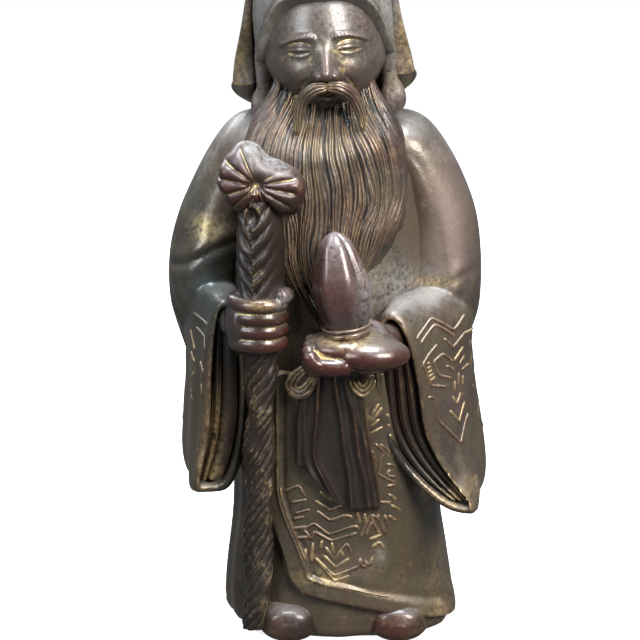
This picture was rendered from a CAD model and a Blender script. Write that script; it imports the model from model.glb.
"""Standing elder of cast brass, with a gnarled staff and a peach.

Every piece is a surface worked out on a grid, in millimetres in the figure's own frame, and is then set into the
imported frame. The finishes are one patina, tuned for cloth, skin, hair and the staff.
"""

import math

import bpy
import numpy as np
from bpy.props import FloatProperty, FloatVectorProperty, IntProperty, PointerProperty
from bpy.types import Operator, Panel, PropertyGroup
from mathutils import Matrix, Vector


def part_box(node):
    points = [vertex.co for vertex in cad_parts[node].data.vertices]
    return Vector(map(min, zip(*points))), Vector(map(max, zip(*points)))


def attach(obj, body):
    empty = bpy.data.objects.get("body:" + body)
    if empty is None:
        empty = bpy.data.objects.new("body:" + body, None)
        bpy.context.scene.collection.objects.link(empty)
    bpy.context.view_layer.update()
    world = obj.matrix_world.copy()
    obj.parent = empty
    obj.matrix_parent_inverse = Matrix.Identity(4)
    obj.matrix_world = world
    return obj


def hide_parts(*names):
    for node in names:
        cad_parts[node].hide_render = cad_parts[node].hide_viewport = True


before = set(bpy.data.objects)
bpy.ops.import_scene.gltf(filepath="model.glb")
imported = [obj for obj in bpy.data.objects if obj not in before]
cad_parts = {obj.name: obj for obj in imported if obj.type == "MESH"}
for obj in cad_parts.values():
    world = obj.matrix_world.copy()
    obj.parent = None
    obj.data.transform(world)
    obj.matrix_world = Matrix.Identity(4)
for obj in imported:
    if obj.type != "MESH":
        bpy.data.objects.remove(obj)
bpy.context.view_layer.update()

bl_info = {
    "name": "Standing elder",
    "version": (1, 0, 0),
    "blender": (4, 5, 0),
    "location": "View3D > Sidebar > Elder",
    "description": "Chased castings and patina for a standing figure of brass",
    "category": "Add Mesh",
}

# Sizes of the solids, in millimetres
FIT_GAP = 0.35
SHOULDER = 191.0
COLLAR = SHOULDER + 17
CHEST = SHOULDER - 25
WAIST = SHOULDER - 75
KNEE = 46.0
CORE_TOP = CHEST + 6.8
STANCE = 4.0
GOWN_WALL = 3.4
SQUARENESS = 2.3
WAIST_FRONT = 38.0
GOWN_STATIONS = (
    # height, half width, front, back
    (0, 44.0, 38.0, 31.5),
    (7, 45.5, 39.5, 33),
    (KNEE, 41.5, 37, 30),
    (WAIST, 40, WAIST_FRONT, 30),
    (CHEST, 39, 33, 34),
    (SHOULDER, 35, 25, 28),
    (COLLAR, 10.5, 7.5, 8.4),
)
HEAD = np.array((-1.0, -13.0, COLLAR + 27 * 0.82))
HEAD_WIDE, HEAD_FRONT, HEAD_BACK, HEAD_RISE, HEAD_DROP = 23.5, 26.5, 26.0, 31.0, 27.0
HEAD_ROLL = math.radians(4)
THIRD = 15.5
CHIN = HEAD[2] - HEAD_DROP
NOSE = CHIN + THIRD
BROW = NOSE + THIRD
EYE = BROW - THIRD / 4
MOUTH = NOSE - THIRD / 3
CAP_FRONT_RIM = BROW + THIRD
CAP_TEMPLE_RIM = EYE - THIRD / 3
CAP_TOP = HEAD[2] + 49
CAP_THICK = 2.6
DRAPE_THICK = 3.6
DRAPE_HALF = math.radians(104)
DRAPE_FOOT = CHIN + DRAPE_THICK * 0.6
DRAPE_CORNER = DRAPE_FOOT + 11
DRAPE_TOP = CAP_FRONT_RIM + (CAP_TOP - CAP_FRONT_RIM) * 0.45
BEARD_TOP = CHIN + THIRD / 3
BEARD_LENGTH = 80.0
BEARD_WIDE = 31.5
ARM_SPREAD, ARM_FRONT, ARM_BACK, ARM_OUT, ARM_IN = 47.5, 20.0, 19.0, 14.4, 15.0
ELBOW_DROP, ELBOW_BACK = 67.0, 9.0
CUFF_RIM = 2.0
POCKET = 11.0
CUFF_LEAN = 0.13
DRAPE_LONG = 50
RIGHT, LEFT = -1, 1
SIDES = {"right": RIGHT, "left": LEFT}
CUFFS = {RIGHT: np.array((-40.5, -40, SHOULDER - 94)), LEFT: np.array((29, -40, SHOULDER - 99))}
DRAPES = {
    RIGHT: {"size": (11.2, 13, 41, 50), "sway": 5.0, "lean": 0.02},
    LEFT: {"size": (17.9, 13, 41, 51.3), "sway": 20.0, "lean": 0.09},
}
DRAPE_SHARES = (
    (0.5, 0.5, 0.3, 0.36),
    (0.82, 0.85, 0.55, 0.83),
    (1, 1, 0.77, 1),
    (0.87, 0.92, 0.92, 0.91),
    (0.55, 0.76, 1, 0.74),
)
GRIP = np.array((-25.0, -WAIST_FRONT - 9, SHOULDER - 60))
STAFF_TOP = GRIP[2] + 50
STAFF_LEAN, STAFF_FOOT, STAFF_GRIP = 2.5, 5.4, 6.8
PEACH = np.array((8.0, -WAIST_FRONT - 15, SHOULDER - 67))
PEACH_LENGTH, PEACH_RADIUS, PEACH_LEAN = 42.0, 10.4, math.radians(8)
PANEL_THICK, BAND_WIDE, BAND_RISE = 2.2, 9.0, 0.9
PANEL_SEAT = 2 * FIT_GAP
PANEL_FACE = PANEL_SEAT + PANEL_THICK
PANEL_STOP, PANEL_ROUND, HEM_NARROW = math.radians(96), 43, 0.72
APRON_TOP = WAIST - 3
APRON_BOTTOM = APRON_TOP - 58
PANEL_TOP = APRON_TOP - 4.5
APRON_SHIFT, APRON_THICK = 7.0, 2.4
APRON_SEAT = PANEL_THICK + BAND_RISE + 4 * FIT_GAP
KNOT_X = APRON_SHIFT - 9.5
SHOE_LONG, SHOE_WIDE, SHOE_HIGH, SOLE = 30.0, 11.5, 14.0, 3.0
SHOE_SPREAD, TOE_OUT = {RIGHT: 16.0, LEFT: 20.0}, 8.0
TURN = 2 * math.pi
MM = 1000
SENSOR, FOCUS = 36, 1750 / 640

# Chased lines, as shares of the half width that a user sets
FRET_LINE, SLEEVE_LINE, EDGE_LINE, LINING_LINE, HEM_LINE = 1.6, 1.5, 0.8, 0.7, 0.45


# Numbers and curves


def lerp(a, b, t):
    return a + (b - a) * t


def smooth(value, low, high):
    """0 below `low`, 1 above `high` and an S-shaped cubic between them."""
    t = np.clip((value - low) / (high - low), 0, 1)
    return t * t * (3 - 2 * t)


def bell(distance, width):
    """1 at no distance, falling off as the exponential of minus the squared share of the width."""
    return np.exp(-((distance / width) ** 2))


def within(value, start, full, end, out):
    """1 from `full` to `end`, with S-shaped flanks that begin at `start` and stop at `out`."""
    return smooth(value, start, full) * (1 - smooth(value, end, out))


def signed(value, power):
    """The size of a value raised to a power, with its sign kept."""
    return np.sign(value) * np.abs(value) ** power


def wrapped(angle):
    """The same direction as an angle within half a turn of nought."""
    return np.mod(angle + math.pi, TURN) - math.pi


def dome(away, reach, least=0.0):
    """A quarter-round edge: it rises from `least` at the edge to 1 at the distance `reach`."""
    return np.sqrt(np.clip(1 - np.clip(1 - away / reach, 0, 1) ** 2, least, 1))


def eased(t):
    """A share from 0 to 1 that starts and ends slowly."""
    return 0.5 - 0.5 * np.cos(math.pi * t)


def ridged(phase):
    """Round ridges, one to each whole step of the phase, with sharp valleys between them."""
    return np.abs(np.sin(math.pi * phase))


def oval(angle, power):
    """Cosine and sine of an angle, bent to a squarish oval of the given power."""
    return signed(np.cos(angle), 2 / power), signed(np.sin(angle), 2 / power)


def through(stations, at):
    """A smooth curve through (position, value) stations: cubic pieces, with the neighbours' chord as each slope."""
    place, value = np.array(stations, float).T
    slope = np.gradient(value, place)
    slope[1:-1] = (value[2:] - value[:-2]) / (place[2:] - place[:-2])
    at = np.clip(at, place[0], place[-1])
    i = np.clip(np.searchsorted(place, at, side="right") - 1, 0, len(place) - 2)
    gap = place[i + 1] - place[i]
    t = (at - place[i]) / gap
    ends = value[i] * (1 + 2 * t) * (1 - t) ** 2 + value[i + 1] * t * t * (3 - 2 * t)
    return ends + gap * (slope[i] * t * (1 - t) ** 2 - slope[i + 1] * t * t * (1 - t))


def along(keys, t):
    """A smooth curve through equally spaced keys of any number of columns, at shares t from 0 to 1."""
    keys = np.array(keys, float)
    place = np.linspace(0, 1, len(keys))
    return np.stack([through(np.stack([place, column], 1), t) for column in keys.T], -1)


def curve(values, t):
    """A smooth curve through equally spaced values, at shares t from 0 to 1."""
    return along(np.array(values)[:, None], t)[..., 0]


def paced(path, step=1.0, least=3):
    """A bent path's points at equal steps along it, and how far along it they lie."""
    path = np.array(path, float)
    reach = np.concatenate([[0], np.cumsum(np.linalg.norm(np.diff(path, axis=0), axis=1))])
    at = np.linspace(0, reach[-1], max(int(reach[-1] / step), least))
    return np.stack([np.interp(at, reach, column) for column in path.T], -1), at


def tilted(points, angle):
    """Points turned by an angle about the axis that runs from front to back."""
    c, s = math.cos(angle), math.sin(angle)
    x, y, z = np.moveaxis(points, -1, 0)
    return np.stack([c * x - s * z, y, s * x + c * z], -1)


def ripple(a, b, seed):
    """Smooth chance field from -1 to 1: a sine hash at whole numbers of a and b, blended by S-curves between them."""
    i, j = np.floor(a), np.floor(b)
    f, g = smooth(a - i, 0, 1), smooth(b - j, 0, 1)

    def corner(p, q):
        return 2 * np.mod(np.abs(np.sin(p * 127.1 + q * 311.7 + seed * 74.7)) * 4375.85, 1) - 1

    low = lerp(corner(i, j), corner(i + 1, j), f)
    high = lerp(corner(i, j + 1), corner(i + 1, j + 1), f)
    return lerp(low, high, g)


def cells(columns, rows, low=(0.0, 0.0), high=(1.0, 1.0), ring=False):
    """A grid's parameters, u along its columns and v along its rows. A ring leaves out u's last value."""
    u = np.linspace(low[0], high[0], columns, endpoint=not ring)
    v = np.linspace(low[1], high[1], rows)
    return np.meshgrid(u, v)


def unit(vectors):
    return vectors / np.maximum(np.linalg.norm(vectors, axis=-1, keepdims=True), 1e-9)


def facing(grid, ring, inside=None):
    """Unit normals of a grid: the cross product of its steps along rows and columns, turned away from `inside`."""
    if ring:
        step = np.roll(grid, -1, axis=1) - np.roll(grid, 1, axis=1)
    else:
        step = np.gradient(grid, axis=1)
    normal = unit(np.cross(step, np.gradient(grid, axis=0)))
    centre = grid.mean(1, keepdims=True) if inside is None else inside
    return normal if (normal * (grid - centre)).sum() > 0 else -normal


def raised(grid, height, ring=True, inside=None):
    """The grid moved along its normals by `height`."""
    return grid + facing(grid, ring, inside) * height[..., None]


# Closed skins


def outward(points, quads, fans):
    """The skin with its faces turned so that the volume under them is positive."""
    corners = np.concatenate([quads[:, [0, 1, 2]], quads[:, [0, 2, 3]], fans])
    a, b, c = (points[corners[:, k]] for k in range(3))
    if (a * np.cross(b, c)).sum() < 0:
        quads, fans = quads[:, ::-1], fans[:, ::-1]
    return points, quads, fans


def ring_skin(rings):
    """A stack of rings joined by quads, with a fan from each end ring to its middle."""
    rows, columns, _ = rings.shape
    points = np.concatenate([rings.reshape(-1, 3), rings[:1].mean(1), rings[-1:].mean(1)])
    here = np.arange(rows * columns).reshape(rows, columns)
    beside = np.roll(here, -1, axis=1)
    quads = np.stack([here[:-1], beside[:-1], beside[1:], here[1:]], -1).reshape(-1, 4)
    foot = np.full(columns, rows * columns)
    fans = np.concatenate([
        np.stack([beside[0], here[0], foot], -1),
        np.stack([here[-1], beside[-1], foot + 1], -1),
    ])
    return outward(points, quads, fans)


def loop_skin(rings):
    """A ring of rings: quads both ways round, with no ends."""
    rows, columns, _ = rings.shape
    here = np.arange(rows * columns).reshape(rows, columns)
    beside = np.roll(here, -1, axis=1)
    quads = np.stack([here, beside, np.roll(beside, -1, axis=0), np.roll(here, -1, axis=0)], -1).reshape(-1, 4)
    return outward(rings.reshape(-1, 3), quads, np.zeros((0, 3), int))


def plate_skin(outer, inner):
    """Two grids of the same size as the faces of a plate, joined round their borders."""
    rows, columns, _ = outer.shape
    here = np.arange(rows * columns).reshape(rows, columns)
    under = here + rows * columns

    def tiles(index):
        return np.stack([index[:-1, :-1], index[:-1, 1:], index[1:, 1:], index[1:, :-1]], -1).reshape(-1, 4)

    def border(index):
        return np.concatenate([index[0, :-1], index[:-1, -1], index[-1, :0:-1], index[:0:-1, 0]])

    edge, below = border(here), border(under)
    sides = np.stack([np.roll(edge, -1), edge, below, np.roll(below, -1)], -1)
    quads = np.concatenate([tiles(here), tiles(under)[:, ::-1], sides])
    points = np.concatenate([outer.reshape(-1, 3), inner.reshape(-1, 3)])
    return outward(points, quads, np.zeros((0, 3), int))


def sweep(centre, size, columns, side, flat=1.0):
    """Ovals square to a path, one at each of its points, with their flat way at right angles to `side`."""
    ahead = unit(np.gradient(centre, axis=0))
    across = unit(np.cross(np.array(side, float), ahead))[:, None]
    rise = np.cross(ahead[:, None], across)
    angle = np.linspace(0, TURN, columns, endpoint=False)[None, :, None]
    return centre[:, None] + size[:, None, None] * (flat * np.cos(angle) * across + np.sin(angle) * rise)


def tube(path, radius, rows=40, columns=20, ends=0.12, side=(0, 0, 1), flat=1.0):
    """A tube along a smooth path: ovals square to the path, with radius stations and domed ends."""
    t = eased(np.linspace(0, 1, rows))
    return sweep(along(path, t), through(radius, t) * dome(np.minimum(t, 1 - t), ends, 0.0004), columns, side, flat)


def ball(centre, size, columns=40, rows=24):
    """An ellipsoid: rings of latitude about the upright axis."""
    angle, tilt = cells(columns, rows, (0, -math.pi / 2 * 0.97), (TURN, math.pi / 2 * 0.97), ring=True)
    shape = np.stack([np.cos(tilt) * np.cos(angle), np.cos(tilt) * np.sin(angle), np.sin(tilt)], -1)
    return np.array(centre, float) + shape * np.array(size, float)


def wire(path, radius, columns=7):
    """A chased line: a thin closed tube along a bent path whose points it keeps, with narrow ends."""
    centre, at = paced(path, 0.9, 6)
    size = radius * np.clip(np.minimum(at, at[-1] - at) / (1.2 * radius) + 0.3, 0.3, 1)
    return sweep(centre, size, columns, (0.05, -1, 0.1))


# The figure's own forms


def gown_size(z):
    """Half width, front, back and sideways shift of the gown at heights z."""
    table = np.array(GOWN_STATIONS, float)
    wide, front, back = (through(table[:, [0, k]], z) for k in (1, 2, 3))
    shift = through(((0, STANCE), (KNEE, STANCE), (SHOULDER, 0), (COLLAR, 0)), z)
    return wide, front, back, shift


def gown_at(angle, z, out=0.0):
    """A point of the gown: a squarish oval at each height, with flutes behind. Angle 0 is the front."""
    wide, front, back, shift = gown_size(z)
    behind = smooth(-np.cos(angle), 0, 0.4)
    off = out + 2 * behind * (1 - smooth(z, KNEE, WAIST)) * np.cos(9 * angle)
    off = off - 1.6 * smooth(np.sin(angle), 0.4, 1) * bell(z - 50, 22)
    off = off + 4.6 * bell(angle - 0.95, 0.45) * (1 - smooth(z, 0, 24))
    depth = np.where(np.cos(angle) > 0, front, back)
    ahead, aside = oval(angle, SQUARENESS)
    return np.stack(np.broadcast_arrays(shift + (wide + off) * aside, -(depth + off) * ahead, z), -1)


def gown_angle(x, z, out=0.0):
    """The angle at which the front of the gown, grown by `out`, has a given x."""
    wide, _, _, shift = gown_size(z)
    return np.arcsin(signed(np.clip((x - shift) / (wide + out), -1, 1), SQUARENESS / 2))


def front_at(x, z, out):
    """The point in front of the gown, at a height `out` over it, that keeps its x."""
    return gown_at(gown_angle(x, z, out), z, out)


def rolled(points):
    """Points of the upright head turned about the head's middle to its sideways tilt."""
    return tilted(points - HEAD, HEAD_ROLL) + HEAD


def toe_of(side):
    """The tip of a shoe's toe, in front of the hem."""
    foot = np.array(0.0)
    return gown_at(gown_angle(STANCE + side * SHOE_SPREAD[side], foot), foot, TOE_OUT)


def frame_shift():
    """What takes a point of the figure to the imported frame, from where the right shoe's solid stands."""
    low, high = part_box("right_shoe")
    toe = toe_of(RIGHT)
    return np.array(((low.x + high.x) / 2 * MM - toe[0], low.y * MM - toe[1], 0.0))


SHIFT = frame_shift()
# How often a bend is averaged with its neighbours, for edges and for whole forms
SHARP_ROUNDS, BROAD_ROUNDS = 2, 24


def relief_of(mesh):
    """Bends of the surface at each vertex, sharp and broad, per millimetre and positive where it bulges.

    For each edge, the neighbour's depth under the tangent plane over the squared length; the mean over the edges.
    """
    count = len(mesh.vertices)
    ends = np.empty(len(mesh.edges) * 2, np.int32)
    mesh.edges.foreach_get("vertices", ends)
    a, b = ends.reshape(-1, 2).T
    place, normal = np.empty(count * 3, np.float32), np.empty(count * 3, np.float32)
    mesh.vertices.foreach_get("co", place)
    mesh.vertices.foreach_get("normal", normal)
    place, normal = place.reshape(-1, 3) * MM, normal.reshape(-1, 3)
    link = place[b] - place[a]
    square = np.maximum((link**2).sum(1), 0.01)
    near = np.bincount(a, minlength=count) + np.bincount(b, minlength=count)
    bulge = np.bincount(a, -(link * normal[a]).sum(1) / square, count)
    bulge += np.bincount(b, (link * normal[b]).sum(1) / square, count)
    near = np.maximum(near, 1)

    def relaxed(field, rounds):
        for _ in range(rounds):
            beside = np.bincount(a, field[b], count) + np.bincount(b, field[a], count)
            field = 0.5 * field + 0.5 * beside / near
        return field

    sharp = relaxed(np.clip(bulge / near, -3, 3), SHARP_ROUNDS)
    return sharp, relaxed(sharp, BROAD_ROUNDS)


def make_mesh(name, skins):
    """One mesh from closed skins in the figure's millimetres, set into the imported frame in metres."""
    starts = np.cumsum([0] + [len(points) for points, _, _ in skins])[:-1]
    points = (np.concatenate([points for points, _, _ in skins]) + SHIFT) / MM
    quads = np.concatenate([quads + start for (_, quads, _), start in zip(skins, starts)])
    fans = np.concatenate([fans + start for (_, _, fans), start in zip(skins, starts)])
    mesh = bpy.data.meshes.new(name)
    mesh.vertices.add(len(points))
    mesh.vertices.foreach_set("co", points.astype(np.float32).ravel())
    corners = np.concatenate([quads.ravel(), fans.ravel()]).astype(np.int32)
    mesh.loops.add(len(corners))
    mesh.loops.foreach_set("vertex_index", corners)
    sides = np.concatenate([np.full(len(quads), 4), np.full(len(fans), 3)])
    mesh.polygons.add(len(sides))
    mesh.polygons.foreach_set("loop_start", (np.cumsum(sides) - sides).astype(np.int32))
    mesh.polygons.foreach_set("use_smooth", np.ones(len(sides), bool))
    mesh.update(calc_edges=True)
    if mesh.validate():
        raise RuntimeError(f"{name} has faces that can't be built")
    return mesh


def add_field(mesh, name, values):
    mesh.attributes.new(name, "FLOAT", "POINT").data.foreach_set("value", np.asarray(values, np.float32))


# Patches of the finish, by layer: middle x and z, reach across and up, strength
STAINS = {
    "mauve": (
        (47, 164, 13, 25, 1.0), (-33, 196, 14, 10, 0.4), (48, 100, 10, 12, 0.4), (13, 33, 9, 8, 0.5),
    ),
    "dusty": (
        (27, 141, 11, 9, 0.6), (40, 142, 10, 5, 0.15), (-26, 199, 9, 5, 0.5), (-17, 195, 8, 6, 1.0),
        (4, 164, 6, 8, 0.5), (-16, 141, 4, 3.5, 0.7), (-1, 257, 28, 14, 1.0), (-26, 240, 5, 14, 0.8),
        (24, 240, 5, 14, 0.8), (14, 146, 4, 12, 0.5), (21, 34.5, 2.2, 3.5, 0.5), (-26.5, 214, 3.5, 14, 0.5),
        (24.5, 214, 3.5, 14, 0.5),
    ),
    "crimson": (
        (6.5, 141, 5, 8, 0.9), (4, 122, 14, 5, 0.6), (26, 6, 7, 5, 0.9), (-31, 184, 8, 8, 0.7), (-16, 184, 7, 7, 0.6),
    ),
    "dark": (
        (7, 134.5, 8, 3.5, 0.5), (-22, 190, 12, 11, 0.3), (4, 84, 8, 20, 0.3), (6, 44, 13, 14, 0.35),
        (-47, 138, 13, 22, 0.85), (38, 70, 10, 16, 0.3), (-28, 25, 7, 28, 0.6), (37.5, 35, 5, 9, 0.45),
        (37, 199, 14, 8, 0.5), (-41, 194, 10, 8, 0.2),
    ),
    "rubbed": (
        (-46, 161, 5.5, 5, 0.85), (-1, 26, 9, 3, 0.9), (7, 126.5, 9, 2.0, 0.8), (-24, 139.5, 5, 1.6, 0.6),
        (41, 140.5, 8, 1.8, 0.6), (-44, 84, 3.5, 13, 0.7), (-45.5, 66.5, 4, 4, 0.6), (49, 59, 8, 5, 0.6),
        (39, 60, 3, 6, 0.5), (46, 9, 7, 6, 0.4), (45, 24, 4, 9, 0.35), (-29.5, 236, 1.8, 8, 0.8),
        (-32.5, 222, 1.8, 8, 0.8), (28, 234, 1.8, 8, 0.8), (31.5, 221, 1.8, 8, 0.8),
    ),
    "teal": (
        (-46, 138, 11, 14, 0.7), (-51, 176, 7, 16, 0.5), (-37, 122, 6, 8, 0.6),
    ),
    "warm": (
        (18, 36, 32, 20, 0.8), (28.5, 30, 6, 14, 0.6), (36, 100, 12, 20, 0.5),
    ),
}


def stain(layer, points):
    """How strongly a layer lies at each point of the front: the sum of its patches, a bell across times a bell up."""
    share, front = np.zeros(len(points)), smooth(-points[:, 1], -12, 8)
    for x, z, wide, high, strength in STAINS[layer]:
        share += front * strength * bell(points[:, 0] - x, wide) * bell(points[:, 2] - z, high)
    return np.clip(share, 0, 1)


def cast(node, slot, skins, look=None, lines=(), hoops=(), fuse=0.0, relax=4, shade=None):
    """Makes the piece that stands for a solid: skins, and chased lines and hoops that show bare brass.

    With `fuse`, the skins are first joined into one by rebuilding them at that grain and relaxing the result.
    `shade` gives a further share of the dark layer at points of the piece. The finish wears like its slot's name, or
    like `look`.
    """
    name = f"{node}_casting"
    piece = bpy.data.objects.new(name, make_mesh(name, skins))
    bpy.context.scene.collection.objects.link(piece)
    if fuse:
        rebuild = piece.modifiers.new("fuse", "REMESH")
        rebuild.mode = "VOXEL"
        rebuild.voxel_size = fuse / MM
        even = piece.modifiers.new("relax", "SMOOTH")
        even.iterations = relax
        ready = piece.evaluated_get(bpy.context.evaluated_depsgraph_get())
        made = bpy.data.meshes.new_from_object(ready)
        piece.modifiers.clear()
        piece.data = made
        made.name = name
        made.polygons.foreach_set("use_smooth", np.ones(len(made.polygons), bool))
    bare = len(piece.data.vertices)
    if lines or hoops:
        extra = [ring_skin(line) for line in lines] + [loop_skin(hoop) for hoop in hoops]
        piece.data = make_mesh(name, [as_skin(piece.data)] + extra)
    mesh = piece.data
    sharp, broad = relief_of(mesh)
    chased = np.zeros(len(mesh.vertices))
    chased[bare:] = 1
    add_field(mesh, "sharp", sharp)
    add_field(mesh, "broad", broad)
    add_field(mesh, "chased", chased)
    points = as_skin(mesh)[0]
    for layer in sorted(STAINS):
        share = stain(layer, points)
        if shade and layer == "dark":
            share = np.maximum(share, shade(points))
        add_field(mesh, layer, share)
    mesh.materials.clear()
    mesh.materials.append(patina(look or slot))
    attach(piece, "root")
    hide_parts(node)


def as_skin(mesh):
    """A mesh's points, quads and triangles as arrays, back in the figure's millimetres."""
    points = np.empty(len(mesh.vertices) * 3, np.float32)
    mesh.vertices.foreach_get("co", points)
    corners = np.empty(len(mesh.loops), np.int32)
    mesh.loops.foreach_get("vertex_index", corners)
    first, sides = np.empty(len(mesh.polygons), np.int32), np.empty(len(mesh.polygons), np.int32)
    mesh.polygons.foreach_get("loop_start", first)
    mesh.polygons.foreach_get("loop_total", sides)
    quads = corners[first[sides == 4][:, None] + np.arange(4)]
    fans = corners[first[sides == 3][:, None] + np.arange(3)]
    return points.reshape(-1, 3).astype(float) * MM - SHIFT, quads, fans


# Head and cap


def face_relief(x, z):
    """How far the face stands in front of the plain egg: bells for brow, socket, nose, cheek and lips.

    The lids, the mouth's line and the brow's hairs are bells about curved lines. The eyes stand
    a fifth of the head's width from its middle.
    """
    far = np.abs(x)
    beside = far - HEAD_WIDE * 0.4
    rise = within(z, NOSE - 1.2, NOSE + 1.6, NOSE + 2.2, BROW + 1.5)
    nose = 5.7 * rise * bell(x, lerp(4.6, 3.1, smooth(z, NOSE, BROW)))
    tip = 1.3 * bell(x, 3.3) * bell(z - NOSE - 2.6, 2.6)
    wings = 2.5 * bell(far - 3.9, 1.5) * bell(z - NOSE - 1.9, 1.8)
    crease = -0.7 * bell(far - 5.7, 0.8) * bell(z - NOSE - 2.2, 2.2)
    nostril = -1.1 * bell(far - 2.0, 0.9) * bell(z - NOSE + 0.2, 0.8)
    socket = -2.6 * bell(beside, 5.6) * bell(z - EYE, 3.8)
    eyeball = 2.9 * bell(beside, 4.4) * bell(z - EYE, 3.0)
    bow = np.clip(1 - (beside / 5.0) ** 2, 0, 1)
    upper, lower = EYE - 0.4 + 0.5 * bow, EYE - 0.4 - 1.5 * bow
    opening = -0.45 * within(z, lower - 0.3, lower + 0.2, upper - 0.2, upper + 0.3) * smooth(bow, 0, 0.2)
    lid = (0.5 * bell(z - upper, 0.5) + 0.3 * bell(z - lower, 0.5)) * smooth(bow, 0, 0.3)
    fold = -0.6 * bell(z - upper - 2.1 - 0.9 * bow, 0.5) * smooth(bow, 0, 0.5)
    arch = BROW + 1.0 - 3.0 * smooth(far, 8, 19) - 0.5 * (1 - smooth(far, 2, 6))
    hairs = 1 + 0.22 * np.sin(5.5 * (far * 0.9 + (z - arch) * 0.9))
    reach = within(far, 2.4, 4.6, 15.5, 18.5)
    brow = 1.25 * bell(z - arch, 1.15) * reach * hairs
    ridge = 0.9 * bell(beside, 8.5) * bell(z - BROW + 0.6, 3.0)
    cheek = 1.9 * bell(far - 12.2, 5.6) * bell(z - NOSE - 2.6, 5.0)
    smile = -0.7 * bell(far - 6.4 - 0.55 * (NOSE + 3 - z), 0.9) * within(z, NOSE - 7, NOSE - 4, NOSE, NOSE + 3)
    gap = 1 - smooth(far, 5.4, 7.8)
    line = MOUTH - 0.1 + 0.5 * bell(far - 2.0, 1.6) + 0.008 * x**2
    over = 2.3 * bell(z - line - 1.25, 1.05) * bell(x, 5.6) * (1 - 0.35 * bell(x, 0.9))
    under = 3.7 * bell(z - line + 1.6, 1.3) * bell(x, 4.9)
    cut = -1.1 * bell(z - line, 0.42) * gap
    dip = -0.8 * bell(z - line + 4.0, 1.2) * bell(x, 5.0)
    groove = -0.5 * bell(x, 0.9) * within(z, MOUTH + 2, MOUTH + 3, NOSE - 1, NOSE)
    features = nose + tip + wings + crease + nostril + socket + eyeball + opening + lid + fold
    return features + brow + ridge + cheek + smile + over + under + cut + dip + groove


def head_rings():
    """The egg: rings of latitude, narrowed at the jaw, with the face's relief on the side that looks ahead."""
    even, level = cells(280, 250, (-1, 0.02), (1, 0.985), ring=True)
    angle = math.pi * signed(even, 1.45)
    tilt = math.pi * (through(((0, 0), (0.82, 0.7), (1, 1)), level) - 0.5)
    jaw = 1 - 0.16 * smooth(-np.sin(tilt), 0.1, 1)
    x = HEAD_WIDE * jaw * np.cos(tilt) ** 0.85 * np.sin(angle)
    z = HEAD[2] + np.sin(tilt) * np.where(tilt > 0, HEAD_RISE, HEAD_DROP)
    depth = np.where(np.cos(angle) > 0, HEAD_FRONT, HEAD_BACK)
    ahead = smooth(np.cos(angle), 0, 0.5)
    y = HEAD[1] - depth * np.cos(tilt) ** 0.7 * np.cos(angle) - ahead * face_relief(x, z)
    return rolled(np.stack([HEAD[0] + x, y, z], -1))


def ear_rings(side):
    """A long-lobed ear: level ovals from the lobe up, with a rolled rim, a hollow inside it and a round lobe."""
    turn, rise = cells(72, 90, ring=True)
    angle = turn * TURN
    foot = CHIN - 1.35
    deep = ((0, 0.1), (0.06, 0.4), (0.18, 0.56), (0.36, 0.52), (0.55, 0.74), (0.8, 1), (0.93, 0.85), (1, 0.15))
    depth = 9.6 * through(deep, rise)
    thick = 10.2 * through(((0, 0.2), (0.08, 0.75), (0.2, 0.95), (0.4, 0.7), (0.8, 0.75), (1, 0.2)), rise)
    spread = HEAD_WIDE - 0.6 + 3.2 * (0.65 - 0.35 * rise)
    c, s = np.cos(angle), np.sin(angle)
    hollow = bell(s * 0.8, 0.55) * smooth(c, 0.2, 0.9) * within(rise, 0.32, 0.45, 0.82, 0.95)
    x = HEAD[0] + side * (spread + thick * 0.5 * c - 1.5 * hollow)
    y = HEAD[1] - depth * 0.5 * s * side
    return rolled(np.stack([x, y, foot + rise * 33.0], -1))


def cap_at(angle, z, out=0.0):
    """A point of the crown: an oval at each height that narrows to the top. Angle 0 is the front."""
    stations = (
        (CAP_TEMPLE_RIM, HEAD_WIDE + CAP_THICK),
        (CAP_FRONT_RIM, HEAD_WIDE + CAP_THICK * 0.9),
        (lerp(CAP_FRONT_RIM, CAP_TOP, 0.75), 19.8),
        (CAP_TOP, 6.3),
    )
    crown = dome(CAP_TOP - z, 3)
    spread = (through(stations, z) + out) * crown
    depth = spread + crown * np.where(np.cos(angle) > 0, HEAD_FRONT - HEAD_WIDE, HEAD_BACK - HEAD_WIDE)
    lean = 4 * smooth(z, CAP_FRONT_RIM, CAP_TOP)
    x = HEAD[0] + spread * np.sin(angle)
    return rolled(np.stack([x, HEAD[1] + lean - depth * np.cos(angle), z], -1))


def cap_rings():
    """The crown: from its arched rim to the top, with a rolled lip and a second line above it."""
    angle, rise = cells(240, 120, (0, 0), (TURN, 1), ring=True)
    rim = lerp(CAP_TEMPLE_RIM, CAP_FRONT_RIM, smooth(np.cos(angle), 0.15, 1))
    z = lerp(rim, CAP_TOP, 1 - (1 - rise) ** 1.5)
    above = z - rim
    lip = -2.2 * (1 - dome(above, 1.3))
    bead = 0.75 * bell(above - 1.5, 0.9) + 0.5 * bell(above - 5.0, 0.55) - 0.35 * bell(above - 3.6, 0.7)
    skin = cap_at(angle, z, lip + bead)
    heart = lerp(skin[:1], HEAD, 0.25)
    return np.concatenate([heart, skin])


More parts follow.
